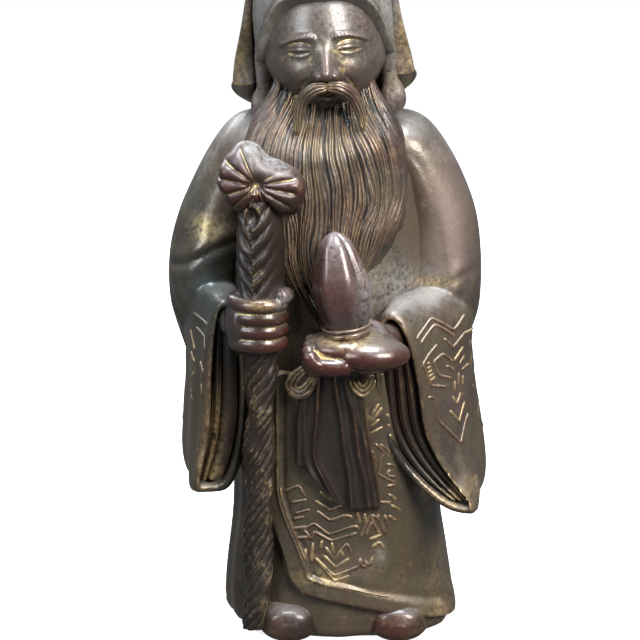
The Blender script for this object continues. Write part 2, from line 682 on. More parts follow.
def drape_plate():
    """The stiff drape: a sheet behind and beside the head that flares to two corners, with a rolled edge."""
    u, v = cells(220, 110)
    angle = (u * 2 - 1) * DRAPE_HALF
    far = np.abs(angle)
    z = lerp(lerp(DRAPE_FOOT, DRAPE_CORNER, smooth(far, math.radians(55), DRAPE_HALF)), DRAPE_TOP, v)
    edge = np.minimum((DRAPE_HALF - far) * 30, v * 45)
    bead = 0.7 * bell(edge - 1.3, 0.9) - 0.25 * bell(edge - 3.2, 0.8)
    fold = 1.3 * np.cos(8 * angle + 0.4 * np.sin(3 * angle))
    fold = fold * (1 - smooth(v, 0.15, 0.85)) * (1 - smooth(far, 1.0, 1.5))
    wide = through(((DRAPE_FOOT, 31.6), (DRAPE_CORNER, 35), (DRAPE_TOP, 24.6)), z)
    thick = DRAPE_THICK * lerp(1, 0.25, smooth(v, 0.2, 0.9))
    filled = smooth(far, math.radians(60), math.radians(92))
    sunk = smooth(v, 0.75, 1)

    def surface(inset, off):
        close, rest, dip = wide - inset, thick, 0.9
        if inset > 0:
            close, rest, dip = np.minimum(close, lerp(close, HEAD_WIDE + CAP_THICK + 2 * FIT_GAP, filled)), 0, 1.6
        y = HEAD[1] + HEAD_BACK / 3 + (HEAD_BACK - inset + off) * np.cos(angle)
        hung = rolled(np.stack([HEAD[0] - 1.2 + (close + off) * np.sin(angle), y, z], -1))
        lift = rest * (1 - sunk) + 2 * FIT_GAP - dip * sunk
        laid = cap_at(math.pi - angle, z, lift + off * (1 - sunk))
        return lerp(hung, laid, smooth(v, 0.15, 0.85)[..., None])

    rounded = 0.42 * thick * (1 - dome(edge, 1.2))
    return surface(0, bead + fold - rounded), surface(DRAPE_THICK, rounded)


# Beard and moustache


def beard_rings(depth, strands):
    """The beard: level rings from the jaw to the tip, combed into locks, strands and hairs.

    Five locks run straight to the tip. A strand or hair is the absolute sine of a phase that runs across the beard;
    chance fields and a slow wave bend the phase down its length, so that strands swing, part and join. The upper
    rows draw in to the jaw, so that the hair grows out of the cheek.
    """
    comb = np.linspace(1, -1, 380)
    front = np.arccos(signed(comb, 1.1))
    angle, fall = np.meshgrid(np.concatenate([front, np.linspace(math.pi, TURN, 92)[1:-1]]), np.linspace(0, 1, 205))
    fall = fall**1.1
    shares = (0.8, 0.92, 1, 1, 0.94, 0.75, 0.45, 0.12)
    fronts = (0.77, 0.9, 0.95, 0.98, 1, 1, 0.97, 0.94)
    root = smooth(fall, 0.0, 0.24)
    half = BEARD_WIDE * curve(shares, fall) * (0.74 + 0.26 * root)
    middle = HEAD[1] - HEAD_FRONT * 0.3
    reach = 46 * curve(fronts, fall) + middle - 4.5 * (1 - root)
    ahead = np.sin(angle)
    across, s = oval(angle, 2.4)
    swing = 0.05 * np.sin(TURN * (fall * 1.7 + 0.2 * across)) + 0.04 * ripple(across * 3, fall * 4 + 3, 3)
    round_ = 0.6 * across + 0.4 * (1 - np.where(angle > 1.5 * math.pi, angle - TURN, angle) / math.pi * 2)
    bend = round_ * 1.15 + swing + 0.02 * ripple(across * 8, fall * 9, 5)
    lock = ridged(2.5 * across)
    tuft = ridged(6.5 * bend + 0.35 * ripple(round_ * 4, fall * 2.5, 8))
    strand = ridged(strands / 2 * bend + 0.8 * ripple(round_ * 6, fall * 5, 11))
    hair = ridged(strands * bend + 0.9 * ripple(round_ * 9, fall * 8, 14))
    mass = 0.9 * tuft**0.7 + depth * strand**0.7 + 0.3 * hair**0.8 - 1.5 * (1 - lock) - 1.5
    stand = 1 + 0.3 * ripple(across * 5, fall * 6, 21)
    ends = smooth(fall, 0.72, 1.0)
    relief = (mass * stand - 3 * ends * (1 - tuft)) * smooth(ahead, -0.7, -0.3) * lerp(0.45, 1, root)
    x = HEAD[0] + half * across
    y = middle - s * np.where(s > 0, reach, BEARD_WIDE / 3)
    burn = 1.7 * THIRD * np.clip(1 - fall * 4, 0, 1) * ((x - HEAD[0]) / BEARD_WIDE) ** 2
    jag = (1 - smooth(fall, 0, 0.12)) * (2.2 * tuft + 1.2 * strand - 1.5)
    z = lerp(BEARD_TOP, BEARD_TOP - BEARD_LENGTH, fall) + burn + jag - 5 * ends * (tuft - 0.5)
    return raised(np.stack([x, y, z], -1), relief)


def moustache_rings(side):
    """One half of the moustache: a tapering lock that droops beside the mouth, ribbed along its length."""
    lip = HEAD[1] - HEAD_FRONT
    droop = ((-0.02, -0.7, -0.1), (0.45, -0.75, -0.16), (0.85, 0.1, -0.4), (1.05, 0.3, -0.8), (1.12, -0.2, -1.2))
    path = np.array([(HEAD[0] + side * 11 * o, lip + 2.3 * b, NOSE + THIRD * r) for o, b, r in droop])
    rings = tube(rolled(path), ((0, 1.5), (0.3, 2.2), (0.7, 1.8), (1, 0.5)), 150, 84, 0.1, (0, -1, 0.2))
    angle, t = cells(84, 150, (0, 0), (TURN, 1), ring=True)
    ribs = np.abs(np.sin(5 * angle + 4 * t + 0.5 * np.sin(9 * t))) + 0.4 * np.abs(np.sin(11 * angle - 3 * t))
    return raised(rings, (0.5 * ribs**0.8 - 0.25) * (1 + 0.3 * ripple(angle, t * 8, 25)))


# Gown, robe panel and sash


def gown_rings(fold):
    """One profile carried round the gown: down its inner wall, over the rim and up its outside in soft folds."""
    inner, outer = np.linspace(CORE_TOP, 0, 36), COLLAR * (1 - (1 - np.linspace(0, 1, 170)) ** 1.1)
    wall = np.concatenate([0 * inner - GOWN_WALL, 0 * outer])[:, None]
    angle, z = np.meshgrid(np.linspace(0, TURN, 260, endpoint=False), np.concatenate([inner, outer]))
    skirt = 1 - smooth(z, 40, 120)
    sway = angle + 0.05 * np.sin(z / 21)
    front = smooth(np.cos(angle), 0.1, 0.5)
    pleat = fold * skirt * 0.7 * np.cos(18 * sway + 0.6) * (1 - 0.5 * front)
    behind = smooth(-np.cos(angle), 0.1, 0.6)
    girdle = WAIST - 6
    off, spine = np.abs(z - girdle), np.abs(angle - math.pi)
    belt = 0.9 * within(z, girdle - 5.4, girdle - 4.4, girdle + 4.4, girdle + 5.4) - 0.8 * bell(off - 6.2, 1.4)
    gather = 1.2 * np.cos(22 * sway + 0.8 * np.sin(5 * angle)) * bell(off - 9, 12) * smooth(off, 5.5, 9)
    drag = 1.3 * np.cos(2 * (z - 1.1 * SHOULDER) / 9 + 9 * spine)
    drag = drag * bell(z - SHOULDER + 26, 18) * bell(spine - 0.5, 0.5)
    hung = 1.1 * np.cos(14 * angle + 0.9 * np.sin(z / 30)) * (1 - smooth(z, 45, girdle))
    back = behind * fold * (belt + gather + drag + hung)
    dent = 0.5 * ripple(angle * 4, z / 26, 31) + 0.7 * bell(z - 2.2, 1.6) + back
    return gown_at(angle, z, wall + np.where(wall < 0, 0, pleat + dent))


def panel_lift(x, z):
    """Where a chased line lies on the panel's face."""
    return gown_at(gown_angle(x, z), z, PANEL_FACE - 0.2)


def panel_start(z):
    """The angle of the panel's slanted edge at height z."""
    return gown_angle(lerp(-14, -23, smooth(z, 21, 63)), z)


def panel_foot(u):
    """Height of the panel's hem: it falls from the slanted edge to the left side, with a rounded corner."""
    return lerp(21, 1.6, 1 - (1 - u) ** 1.8) + 6 * np.clip(1 - u / 0.075, 0, 1) ** 2


def band_lines():
    """The bright step at the band's inner border: one line down the edge and one along the hem."""
    out = PANEL_FACE + BAND_RISE + 0.2
    z = np.linspace(62, 33, 40)
    edge = gown_at(panel_start(z) + BAND_WIDE / PANEL_ROUND, z, out)
    u = np.linspace(0.105, 0.36, 50)
    z = panel_foot(u) + BAND_WIDE * lerp(1, HEM_NARROW, u) - 0.6
    return edge, gown_at(lerp(panel_start(z), PANEL_STOP, u), z, out)


def panel_plate(fold):
    """The wrapped panel: from its slanted edge round to the left side, with a raised band along edge and hem.

    The distance to edge and hem is a soft minimum, so the band turns the corner in a curve.
    """
    u, v = cells(230, 195)
    foot = panel_foot(u)
    z = lerp(foot, PANEL_TOP, v)
    start = panel_start(z)
    angle = lerp(start, PANEL_STOP, u)
    side, hem = (angle - start) * PANEL_ROUND, (z - foot) / lerp(1, HEM_NARROW, u)
    near = -np.log(np.exp(-0.45 * side) + np.exp(-0.45 * hem)) / 0.45 + 1.5
    near = np.clip(np.minimum(near, np.minimum(side, hem) + 0.3), 0, None)
    edge = np.minimum(np.minimum(side, hem), np.minimum((PANEL_STOP - angle) * PANEL_ROUND, PANEL_TOP - z))
    worn = smooth(u, 0.12, 0.3)
    band = BAND_RISE * (1 - smooth(near, BAND_WIDE - lerp(1.4, 2.8, worn), BAND_WIDE + lerp(0.8, 1.8, worn)))
    band = band + 0.8 * (1 - worn) * bell(near - BAND_WIDE + 0.6, 1.0)
    band = band * (1 - smooth(u, 0.6, 0.85))
    drop = bell(near - BAND_WIDE - 1.2, 0.9) * -0.35 * (1 - worn)
    soft = fold * (0.9 * np.cos(7 * angle + z / 30) * smooth(angle, 0.45, 0.9) + 0.4 * ripple(angle * 5, z / 18, 41))
    high = PANEL_THICK + band + drop + soft * smooth(near, BAND_WIDE, BAND_WIDE + 6)
    lift = dome(edge, 1.5, 0.002) * lerp(1, 0.4, smooth(u, 0.7, 1)) * high
    return gown_at(angle, z, PANEL_SEAT + lift), gown_at(angle, z, PANEL_SEAT)


# The panel's key fret as (x, z) corners: chevrons down its middle, a hooked border and lozenges by the sash
FRET = (
    ((-8.2, 45.2), (-4.4, 48), (0.9, 43.4), (10.4, 47), (12.2, 45.6)),
    ((-8.2, 45.2), (-5.4, 41.2), (-4.3, 44.6), (1.8, 40.9), (11.4, 44.1)), ((-4.4, 57.7), (1.4, 53.4), (8.6, 56.7)),
    ((-3.7, 53.4), (1.4, 49.1), (6.9, 51.5), (10, 50.5)), ((-15.5, 59.9), (-9.9, 63.1), (-7.2, 58.1)),
    ((-13.2, 55.6), (-6.7, 57.7)), ((-11.7, 51.3), (-5.4, 53.8)), ((-4.2, 34), (2.9, 26.8), (11.9, 30.4), (12.4, 34)),
    ((-0.9, 35.1), (3.4, 30.1), (8.6, 34)), ((-1.4, 41.2), (-2.2, 37.6)),
    ((-0.4, 38.7), (2.9, 33.3), (7.6, 40.1), (9.6, 34.7)), ((-4.9, 40.1), (-5.4, 31.9)), ((1.9, 40.9), (2.9, 35.1)),
    ((12.4, 34), (12.9, 30.4), (14.7, 30.1), (14.2, 32.6), (15.9, 30.4), (17, 34)),
    ((12.6, 42.3), (16.2, 51.3), (18.9, 49.5), (21.9, 42.3)), ((14.2, 42.8), (16.8, 48.6), (19.8, 42.4)),
    ((16.4, 37.6), (19.5, 40), (21.5, 36.4)), ((21.7, 62.4), (25.7, 62.4)), ((22.2, 59.2), (25.9, 55.9)),
    ((23.2, 54.5), (27.7, 51.3)), ((22.4, 50.4), (26.4, 47)), ((15.9, 91.5), (18.9, 96.6)), ((17.2, 90.5), (20, 95)),
    ((14.9, 84.2), (20.7, 87)), ((15.4, 87), (19.4, 90.4)),
    ((17.2, 80.5), (21.2, 76), (19.7, 73.9), (18.7, 67.7), (25.7, 62.5)), ((19, 80), (23, 76.4), (22, 73.4)),
    ((21.4, 71.5), (25.4, 70.1), (24.9, 65.6), (21.9, 66.7), (22.4, 68.7), (23.7, 68.3)),
    ((15.5, 78), (17.2, 76), (16.6, 72)), ((-2.6, 61.5), (1.8, 57.6), (6.4, 60.2)), ((8.8, 53.6), (10.8, 58.4)),
    ((13.5, 57.5), (24, 55.2)), ((-7.5, 37.5), (-8.2, 31)), ((-2.4, 32.2), (3, 24.6), (9, 27)),
    ((5, 38), (6.4, 34.6)), ((15.4, 41), (20.6, 42.8)),
)


# Rows of short strokes: both ends of the first, their steps from stroke to stroke, and how many
STROKES = (
    ((21.2, 92), (22.6, 90), (0.55, -4.2), (0.6, -4.2), 6),
    ((11.2, 53), (12.4, 47.5), (2.5, -0.5), (2.5, -0.5), 5),
    ((-12.4, 49), (-7.4, 50.5), (0, -4), (1, -4), 3),
)


def fret_lines():
    """The fret's lines on the panel, with rows of short strokes beside the chevrons, at the edge and at the side."""
    lines = [*FRET]
    for start, stop, first, last, count in STROKES:
        step = np.arange(count)[:, None]
        lines += zip(start + step * first, stop + step * last)
    return [panel_lift(*paced(line)[0].T) for line in lines]


# Ridges of the sash ends: (height, x) stations, then how tall and how wide
RIDGES = (
    (((72, -11.2), (86, -11), (100, -9.8), (113, -5.5)), 0.7, 1.1),
    (((60, 0.5), (72, -7), (78, -8.4), (100, -8), (113, -4.4)), 0.7, 1.0),
    (((57, 4.2), (61, 2.2), (68, -1.4), (75, -4.4), (83, -4.7), (109, -2.7)), 1.1, 1.1),
    (((54, 9.9), (76, 7.4), (96, 4.5), (109, 3)), 1.1, 1.3),
    (((54, 12.4), (76, 9.4), (96, 6.6), (109, 4.6)), 0.3, 0.8),
    (((54, 16.8), (75, 13), (94, 9.8), (106, 7.4)), 1.1, 1.3),
    (((54, 19), (77, 15.4), (94, 11.9), (106, 9.6)), 0.6, 1.0),
)


def apron_plate(pleat):
    """The sash ends: ridges that spread from the knot on both sides of a plain leaf, the left end cut in a curve.

    A ridge is a bell across a smooth curve through its stations; the leaf is a hollow between two of them.
    """
    u, v = cells(230, 185)
    foot = APRON_BOTTOM - 0.7 + 18 * (1 - smooth(u, 0, 0.52)) + 0.8 * np.abs(np.sin(9 * u))
    z = lerp(foot, APRON_TOP, v)
    left = through(((54, -5), (74, -12.4), (100, -10.6), (113, -6)), z)
    right = through(((54, 21.3), (76, 17.6), (96, 14.4), (113, 12)), z)
    x = lerp(left, right, u)
    height = 0.25 * ripple(u * 9, v * 3, 35)
    for stations, tall, wide in RIDGES:
        height = height + pleat * tall * bell(x - through(stations, z) - 0.25 * np.sin(z / 4 + 9 * tall), wide)
    low, high = through(RIDGES[2][0], z), through(RIDGES[3][0], z)
    leaf = 0.8 * np.clip(1 - ((x - (low + high) / 2) / (high - low) * 2) ** 2, 0, 1)
    lip = pleat * 0.8 * bell(x - low, 1.0) * (1 - smooth(z, 66, 76))
    rim = np.minimum((0.5 - np.abs(u - 0.5)) * 27, np.minimum(v * 50, (1 - v) * 58))
    lift = dome(rim, 1.4, 0.002) * (APRON_THICK + height + lip - leaf)
    return front_at(x, z, APRON_SEAT + lift), front_at(x, z, APRON_SEAT + 0 * u)


def knot_skins():
    """The knot: a round lump wrapped by ribs, and beside it three nested loops of cord."""
    z = np.array(APRON_TOP)
    at = gown_at(gown_angle(KNOT_X, z), z, APRON_SEAT + 2.2)
    lump = ball(at, (6, 4.5, 4.5), 80, 60)
    angle, tilt = cells(80, 60, (0, -1), (TURN, 1), ring=True)
    lump = raised(lump, 0.6 * np.abs(np.sin(5 * tilt + 2 * np.cos(angle))), inside=at)
    skins = [ring_skin(lump)]
    arc = np.linspace(-1.0, 1.0, 11) * math.pi / 2
    for reach in (1.7, 3.1, 4.5):
        x = 13.4 + reach * (0.3 * np.sin(arc) ** 3 + 0.75 * np.sin(arc))
        path = front_at(x, 107.4 - reach * 1.35 * np.cos(arc), APRON_SEAT + APRON_THICK + 0.9)
        skins.append(ring_skin(tube(path, ((0, 0.5), (0.5, 0.85), (1, 0.5)), 50, 16, 0.08, (0, -1, 0))))
    return skins


def bow_skins():
    """The bow: a flat drop in the gown's tangent plane, and on it three nested cords that loop round a long slot.

    A cord's path leaves the knot on one side of the loop's axis, turns round its end and comes back on the other.
    """
    knot = np.array((-3.6, APRON_TOP + 1.4))
    lean = math.radians(37)
    axis, across = np.array((-math.sin(lean), -math.cos(lean))), np.array((math.cos(lean), -math.sin(lean)))

    def laid(ahead, aside, out):
        x, z = (k + a * ahead + b * aside for k, a, b in zip(knot, axis, across))
        return front_at(x, z, APRON_SEAT + out)

    round_, row = cells(90, 60, (0, 0), (TURN, 2), ring=True)
    reach = np.where(row < 1, row, 2 - row) * 0.985 + 0.015
    plump = np.sqrt(np.clip(1 - reach**4, 0, 1))
    ahead = 8.4 - 7.8 * reach * np.cos(round_)
    wide = 5.0 * reach * np.sin(round_) * lerp(0.45, 1, smooth(ahead, 0, 9))
    skins = [ring_skin(laid(ahead, wide, np.where(row < 1, 2.4 + 0.9 * plump, 2.4 - 1.7 * plump)))]
    half = ((0, 0.25), (0.35, 0.78), (0.7, 1), (0.93, 0.72))
    far, off = np.array((*half, (1, 0), *((a, -b) for a, b in half[::-1]))).T[:, None]
    for long, broad, thick in ((15.8, 4.5, 1.15), (14.2, 2.9, 0.95), (12.6, 1.5, 0.75)):
        path = laid(far * long, off * broad, 3.5 + 0 * far)[0]
        radius = ((0, thick * 0.7), (0.5, thick), (1, thick * 0.7))
        skins.append(ring_skin(tube(path, radius, 90, 18, 0.05, (0, -1, 0))))
    return skins


def shoe_rings(side):
    """A shoe: upright ovals from heel to toe, flat below, with a welt above the sole and a rounded toe."""
    toe = toe_of(side)
    turn, t = cells(80, 70, (0, 0), (TURN, 1), ring=True)
    t = t**0.75
    share = through(((0, 0.7), (0.25, 0.95), (0.5, 1), (0.75, 0.95), (0.92, 0.72), (1, 0.3)), t)
    c, s = oval(turn, 2.6)
    rise = s * np.where(s > 0, (SHOE_HIGH - SOLE) * share, SOLE)
    welt = 0.5 * bell(rise, 0.8)
    x = toe[0] + (SHOE_WIDE * share + welt) * c
    return np.stack([x, toe[1] + SHOE_LONG * (1 - t), SOLE + rise], -1)


# Sleeves


def drape_axes(side):
    """The elbow, the cuff's middle, and the ways ahead, outwards and up in which the forearm's drape is built."""
    elbow = np.array((side * ARM_SPREAD, ELBOW_BACK, SHOULDER - ELBOW_DROP))
    cuff = CUFFS[side]
    heading = unit((cuff - elbow) * (1, 1, 0))
    across = np.array((heading[1], -heading[0], 0)) * -side
    up = np.array((0, 0, 1.0)) - DRAPES[side]["lean"] * across + CUFF_LEAN * heading
    return elbow, cuff, heading, across, up


def drape_reach(side, t, inset):
    """How far the drape's oval reaches outwards, inwards, up and down at share t, less an inset."""
    reach = along(DRAPE_SHARES, t) * np.array(DRAPES[side]["size"]) - np.asarray(inset)[..., None]
    return np.moveaxis(np.maximum(reach, FIT_GAP), -1, 0)


def drape_power(side, t, rise):
    """The squareness of the drape's oval: nearly round above its middle, and squarer to the cuff below it."""
    low = lerp(3.4, 6.0, t) if side == RIGHT else lerp(2.4, 3.6, t)
    return np.where(rise > 0, 2.2, low)


def drape_swell(side, t, angle):
    """How far the forearm fills its sleeve, outwards and up: bells about its upper outer corner and its ridge."""
    angle = wrapped(angle)
    corner, ridge = bell(angle - 0.82, 0.55), bell(angle - 1.6, 0.45)
    if side == LEFT:
        middle = bell(t - 0.5, 0.3)
        fill = 1.8 * bell(angle - 0.5, 0.3) * bell(t - 0.3, 0.3)
        return 4.5 * corner * middle + fill, (2.4 * corner - 3.0 * ridge) * middle
    return 4.0 * corner * bell(t - 0.2, 0.3), -2.5 * ridge * bell(t - 0.55, 0.3)


def drape_at(side, t, angle, inset=0.0, ahead=0.0):
    """A point of the forearm's drape: a tall squarish oval at share t from elbow to cuff, its foot bent outwards."""
    elbow, cuff, heading, across, up = drape_axes(side)
    reach, power = drape_reach(side, t, inset), drape_power(side, t, np.sin(angle))
    c, s = oval(angle, power)
    wide = c * np.where(c > 0, reach[0], reach[1]) + DRAPES[side]["sway"] * t * np.minimum(s, 0) ** 2
    high = s * np.where(s > 0, reach[2], reach[3])
    centre = lerp(elbow, cuff, np.asarray(t)[..., None]) + np.asarray(ahead)[..., None] * heading
    out, rise = drape_swell(side, t, angle)
    return centre + (wide + out)[..., None] * across + (high + rise)[..., None] * up


def drape_relief(side, t, angle, fold):
    """How far the drape's cloth stands out of its oval: creases where it hangs, and a bead along the cuff."""
    hang = smooth(-np.sin(angle), -0.5, 0.6)
    creases = 0.9 * np.cos(t * 15 + 1.2 * np.sin(angle)) * hang + 0.5 * ripple(t * 5, np.sin(angle) * 3, 51 + side)
    bead = 0.8 * bell((1 - t) * DRAPE_LONG - 1.0, 2.2)
    return bead + fold * creases * within(t, 0.05, 0.25, 0.9, 0.98)


def drape_face(side, t, z, fold):
    """A point of the drape's outer face, with its creases, at share t and height z."""
    elbow, cuff, _, across, up = drape_axes(side)
    reach = drape_reach(side, t, 0.0 * t)
    centre = lerp(elbow, cuff, t[..., None])
    high = z - centre[..., 2]
    power = drape_power(side, t, high)
    s = np.clip(high / np.where(high > 0, reach[2], reach[3]), -1, 1)
    c = (1 - np.abs(s) ** power) ** (1 / power)
    angle = np.arctan2(signed(s, power / 2), c ** (power / 2))
    out, rise = drape_swell(side, t, angle)
    reach = drape_reach(side, t, -drape_relief(side, t, angle, fold))
    wide = c * reach[0] + DRAPES[side]["sway"] * t * np.minimum(s, 0) ** 2 + out
    return centre + wide[..., None] * across + (high + rise)[..., None] * up


def drape_rings(side, fold):
    """The drape and its cuff: outside from elbow to rim, over a half-round lip, and back into the pocket."""
    turn = np.linspace(0, TURN, 300, endpoint=False)
    out_t, lip = np.linspace(0.0, 1, 100), np.linspace(0, math.pi, 14)[1:]
    back = np.linspace(0, POCKET, 14)[1:]
    wall = CUFF_RIM * 0.62
    t = np.concatenate([out_t, np.ones(len(lip) + len(back))])
    inset = np.concatenate([0 * out_t, wall * (1 - np.cos(lip)), np.full(len(back), 2 * wall)])
    ahead = np.concatenate([0 * out_t, 1.6 * np.sin(lip), -back])
    angle, rows = np.meshgrid(turn, np.arange(len(t)))
    relief = drape_relief(side, t[rows], angle, fold) * (rows < len(out_t))
    return drape_at(side, t[rows], angle, inset[rows] - relief, ahead[rows])


ARM_STATIONS = (
    # x, y, fall, tilt, and the reach to front, back, outside and inside
    (0.38, 0.1, 0.0, 75, 1.0, 1.0, 1.0, 1.0),
    (0.7, 0.05, 0.05, 48, 1.04, 1.04, 1.04, 1.04),
    (0.92, -0.05, 0.36, 15, 1.02, 1.02, 1.02, 1.02),
    (1.0, -0.2, 0.66, 0, 1.0, 1.0, 1.0, 1.0),
    (1.01, -0.3, 0.87, -5, 0.93, 0.95, 0.95, 0.85),
    (0.99, -0.3, 1.04, -8, 0.62, 0.85, 0.84, 0.6),
    (0.96, -0.15, 1.25, -10, 0.25, 0.62, 0.68, 0.4),
    (0.95, 0.0, 1.45, -10, 0.08, 0.25, 0.35, 0.2),
)
# How much an arm is drawn in, by height
ARM_SLIM = {
    RIGHT: ((120, 0), (150, 0.2), (165, 1.9), (178, 3.3), (192, 4.2), (215, 4.4)),
    LEFT: ((120, 1), (150, 1.4), (178, 1.7), (192, 2.2), (215, 2.6)),
}
# Height and strength of the crease across an arm
ARM_CREASE = {RIGHT: (150, 1.0), LEFT: (141, 0.5)}


def arm_rings(side, fold):
    """The upper sleeve: ovals from the shoulder to below the elbow, fullest above it, with a few pulled creases."""
    turn, t = cells(160, 130, ring=True)
    angle = turn * TURN
    keys = np.moveaxis(along(ARM_STATIONS, t), -1, 0)
    x, y, fall, tilt = keys[:4]
    reach = keys[4:] * np.array((ARM_FRONT, ARM_BACK, ARM_OUT, ARM_IN))[:, None, None]
    c, s = np.cos(angle), np.sin(angle)
    lean = np.radians(tilt)
    ahead = c * np.where(c > 0, reach[0], reach[1])
    inner = reach[3] * (1 + (0.5 if side == LEFT else 0) * bell(fall - 0.9, 0.35))
    up = s * np.where(s > 0, reach[2], inner)
    centre = np.stack([side * x * ARM_SPREAD, y * ARM_FRONT, SHOULDER - fall * ELBOW_DROP], -1)
    rings = centre + np.stack([side * up * np.cos(lean), -ahead, up * np.sin(lean)], -1)
    x, _, z = np.moveaxis(rings, -1, 0)
    rings[..., 0] = x = x - side * through(ARM_SLIM[side], z) * smooth(np.abs(x), 22, 46)
    front = smooth(c, 0.1, 0.6)
    pulled = np.sin(9 * angle + 26 * t) * bell(t - 0.6, 0.12) * front
    level, strength = ARM_CREASE[side]
    line = z - level - 0.34 * (x - side * 50) + 1.2 * np.sin(x / 5)
    crease = (1.0 * bell(line - 3, 3.4) - 1.0 * bell(line, 1.2) + 0.7 * bell(line + 4, 2.6)) * front
    crease = crease * (0.75 + 0.5 * ripple(x / 7, z / 9, 65))
    soft = 0.6 * ripple(angle * 1.5, t * 6, 61 + side) + 0.45 * pulled + crease * strength
    return raised(rings, fold * soft * within(t, 0.05, 0.2, 0.8, 0.95))


def lining_plate(side):
    """The under-sleeve: long ridges that fill the cuff's pocket, round on top with sharp folds between them."""
    _, cuff, heading, across, up = drape_axes(side)
    reach = drape_reach(side, np.array(1.0), np.array(CUFF_RIM + 4 * FIT_GAP))
    u, v = cells(130, 160)
    rise = lerp(-0.97, 0.97, v)
    power = drape_power(side, 1.0, rise)
    half = (1 - np.abs(rise) ** power) ** (1 / power)
    share = lerp(-half, half, u)
    wide = share * np.where(share > 0, reach[0], reach[1]) + DRAPES[side]["sway"] * np.minimum(rise, 0) ** 2
    high = rise * np.where(rise > 0, reach[2], reach[3])

    def surface(depth):
        return cuff + wide[..., None] * across + high[..., None] * up - depth[..., None] * heading

    count = 3 if side == LEFT else 2
    ridge = ridged(count * u + 0.05 * np.sin(5 * v))
    deep = lerp(1.4, 4.2, smooth(u, 0, 0.9 / count))
    return surface(0.4 + deep * (1 - ridge**0.5)), surface(0 * u + POCKET - 0.7)


def lining_lines(side, front):
    """Thin lines down the under-sleeve beside the creases of its folds."""
    columns, rows = (0.37, 0.7) if side == LEFT else (0.54,), slice(18, 146, 6)
    return [front[rows, int(share * front.shape[1])] for share in columns]


# Brocade of the sleeves as (share from elbow to cuff, height) corners
BROCADE = {
    LEFT: (
        ((0.978, 122.5), (0.802, 128.5), (0.675, 121.9), (0.54, 126.2)),
        ((0.955, 120.7), (0.802, 126.1), (0.675, 119.6)),
        ((0.77, 120.4), (0.708, 115.9), (0.588, 119.9), (0.415, 120.1)), ((0.715, 110.8), (0.6, 115.4)),
        ((0.66, 108.6), (0.578, 111.9)), ((0.627, 106.2), (0.508, 107.6)),
        ((0.823, 118.9), (0.985, 113.1), (0.945, 104.1), (0.808, 102)),
        ((0.718, 110.6), (0.798, 114.8), (0.88, 112.8), (0.857, 106.9), (0.75, 104.5)),
        ((0.788, 110.1), (0.708, 107.2)), ((0.943, 112.9), (0.907, 112.6)), ((0.95, 111.2), (0.903, 111)),
        ((0.95, 109.5), (0.9, 109.6)), ((0.945, 107.8), (0.893, 108.1)), ((0.94, 106.1), (0.885, 106.8)),
        ((0.66, 106.1), (0.682, 99.4)), ((0.605, 104.2), (0.627, 99.9)), ((0.718, 103.4), (0.735, 99)),
        ((0.99, 100.2), (0.927, 99), (0.938, 97), (0.925, 89.9), (0.798, 78.9), (0.603, 88.5)),
        ((0.818, 92.5), (0.745, 86.8), (0.623, 93.6)), ((0.768, 97.6), (0.73, 93.8), (0.653, 97.9)),
    ),
    RIGHT: (
        ((0.65, 129), (0.943, 127.9)), ((0.745, 124.4), (0.938, 122.8), (0.99, 118)),
        ((0.637, 122.1), (0.778, 115.1)), ((0.685, 113.9), (0.808, 110.9)), ((0.738, 99.2), (0.818, 94.6)),
        ((0.963, 104.8), (0.98, 99.2)), ((0.89, 112.6), (0.99, 110), (0.927, 105.9)), ((0.812, 107.2), (0.75, 102.1)),
    ),
}
HIND_BROCADE = (
    ((0.52, 117), (0.42, 111), (0.5, 106)),
    ((0.4, 119), (0.3, 113), (0.38, 106), (0.28, 100)),
    ((0.5, 99), (0.42, 92), (0.5, 85), (0.4, 79)),
    ((0.34, 96), (0.24, 90), (0.3, 82)),
)


def sleeve_lines(side, fold):
    """The sleeve's brocade from (share, height) corners: zigzags and a nested polygon in front, zigzags behind."""
    made = []
    for sunk, lines in ((0.25, BROCADE[side]), (0.5, HIND_BROCADE)):
        for line in lines:
            t, z = paced([(share * DRAPE_LONG, height) for share, height in line])[0].T
            made.append(drape_face(side, t / DRAPE_LONG, z, fold) - np.array((side * sunk, -0.15, 0)))
    return made


def rim_shade(side):
    """How dark the cuff's rim is: wholly so low on its inner side, where it meets the folds of the under-sleeve."""
    _, cuff, heading, across, _ = drape_axes(side)

    def shade(points):
        away = points - cuff
        ahead = away @ heading - CUFF_LEAN * away[:, 2]
        beside = away @ across + DRAPES[side]["lean"] * away[:, 2]
        return smooth(ahead, -3.0, -1.0) * (1 - smooth(beside, -1, 5)) * (1 - smooth(away[:, 2], -4, 6))

    return shade


# Staff, peach and hands


def staff_centre(z):
    """The pole's middle at height z: from a foot that clears the hem to the grip of the right hand."""
    foot = GRIP[0] - STAFF_LEAN
    lowest = gown_at(gown_angle(foot, np.array(0.0)), np.array(7.0), STAFF_FOOT + FIT_GAP)
    x = lerp(foot, GRIP[0], smooth(z, 0, GRIP[2]))
    return np.stack([x, lerp(lowest[1], GRIP[1], z / GRIP[2]), z], -1)


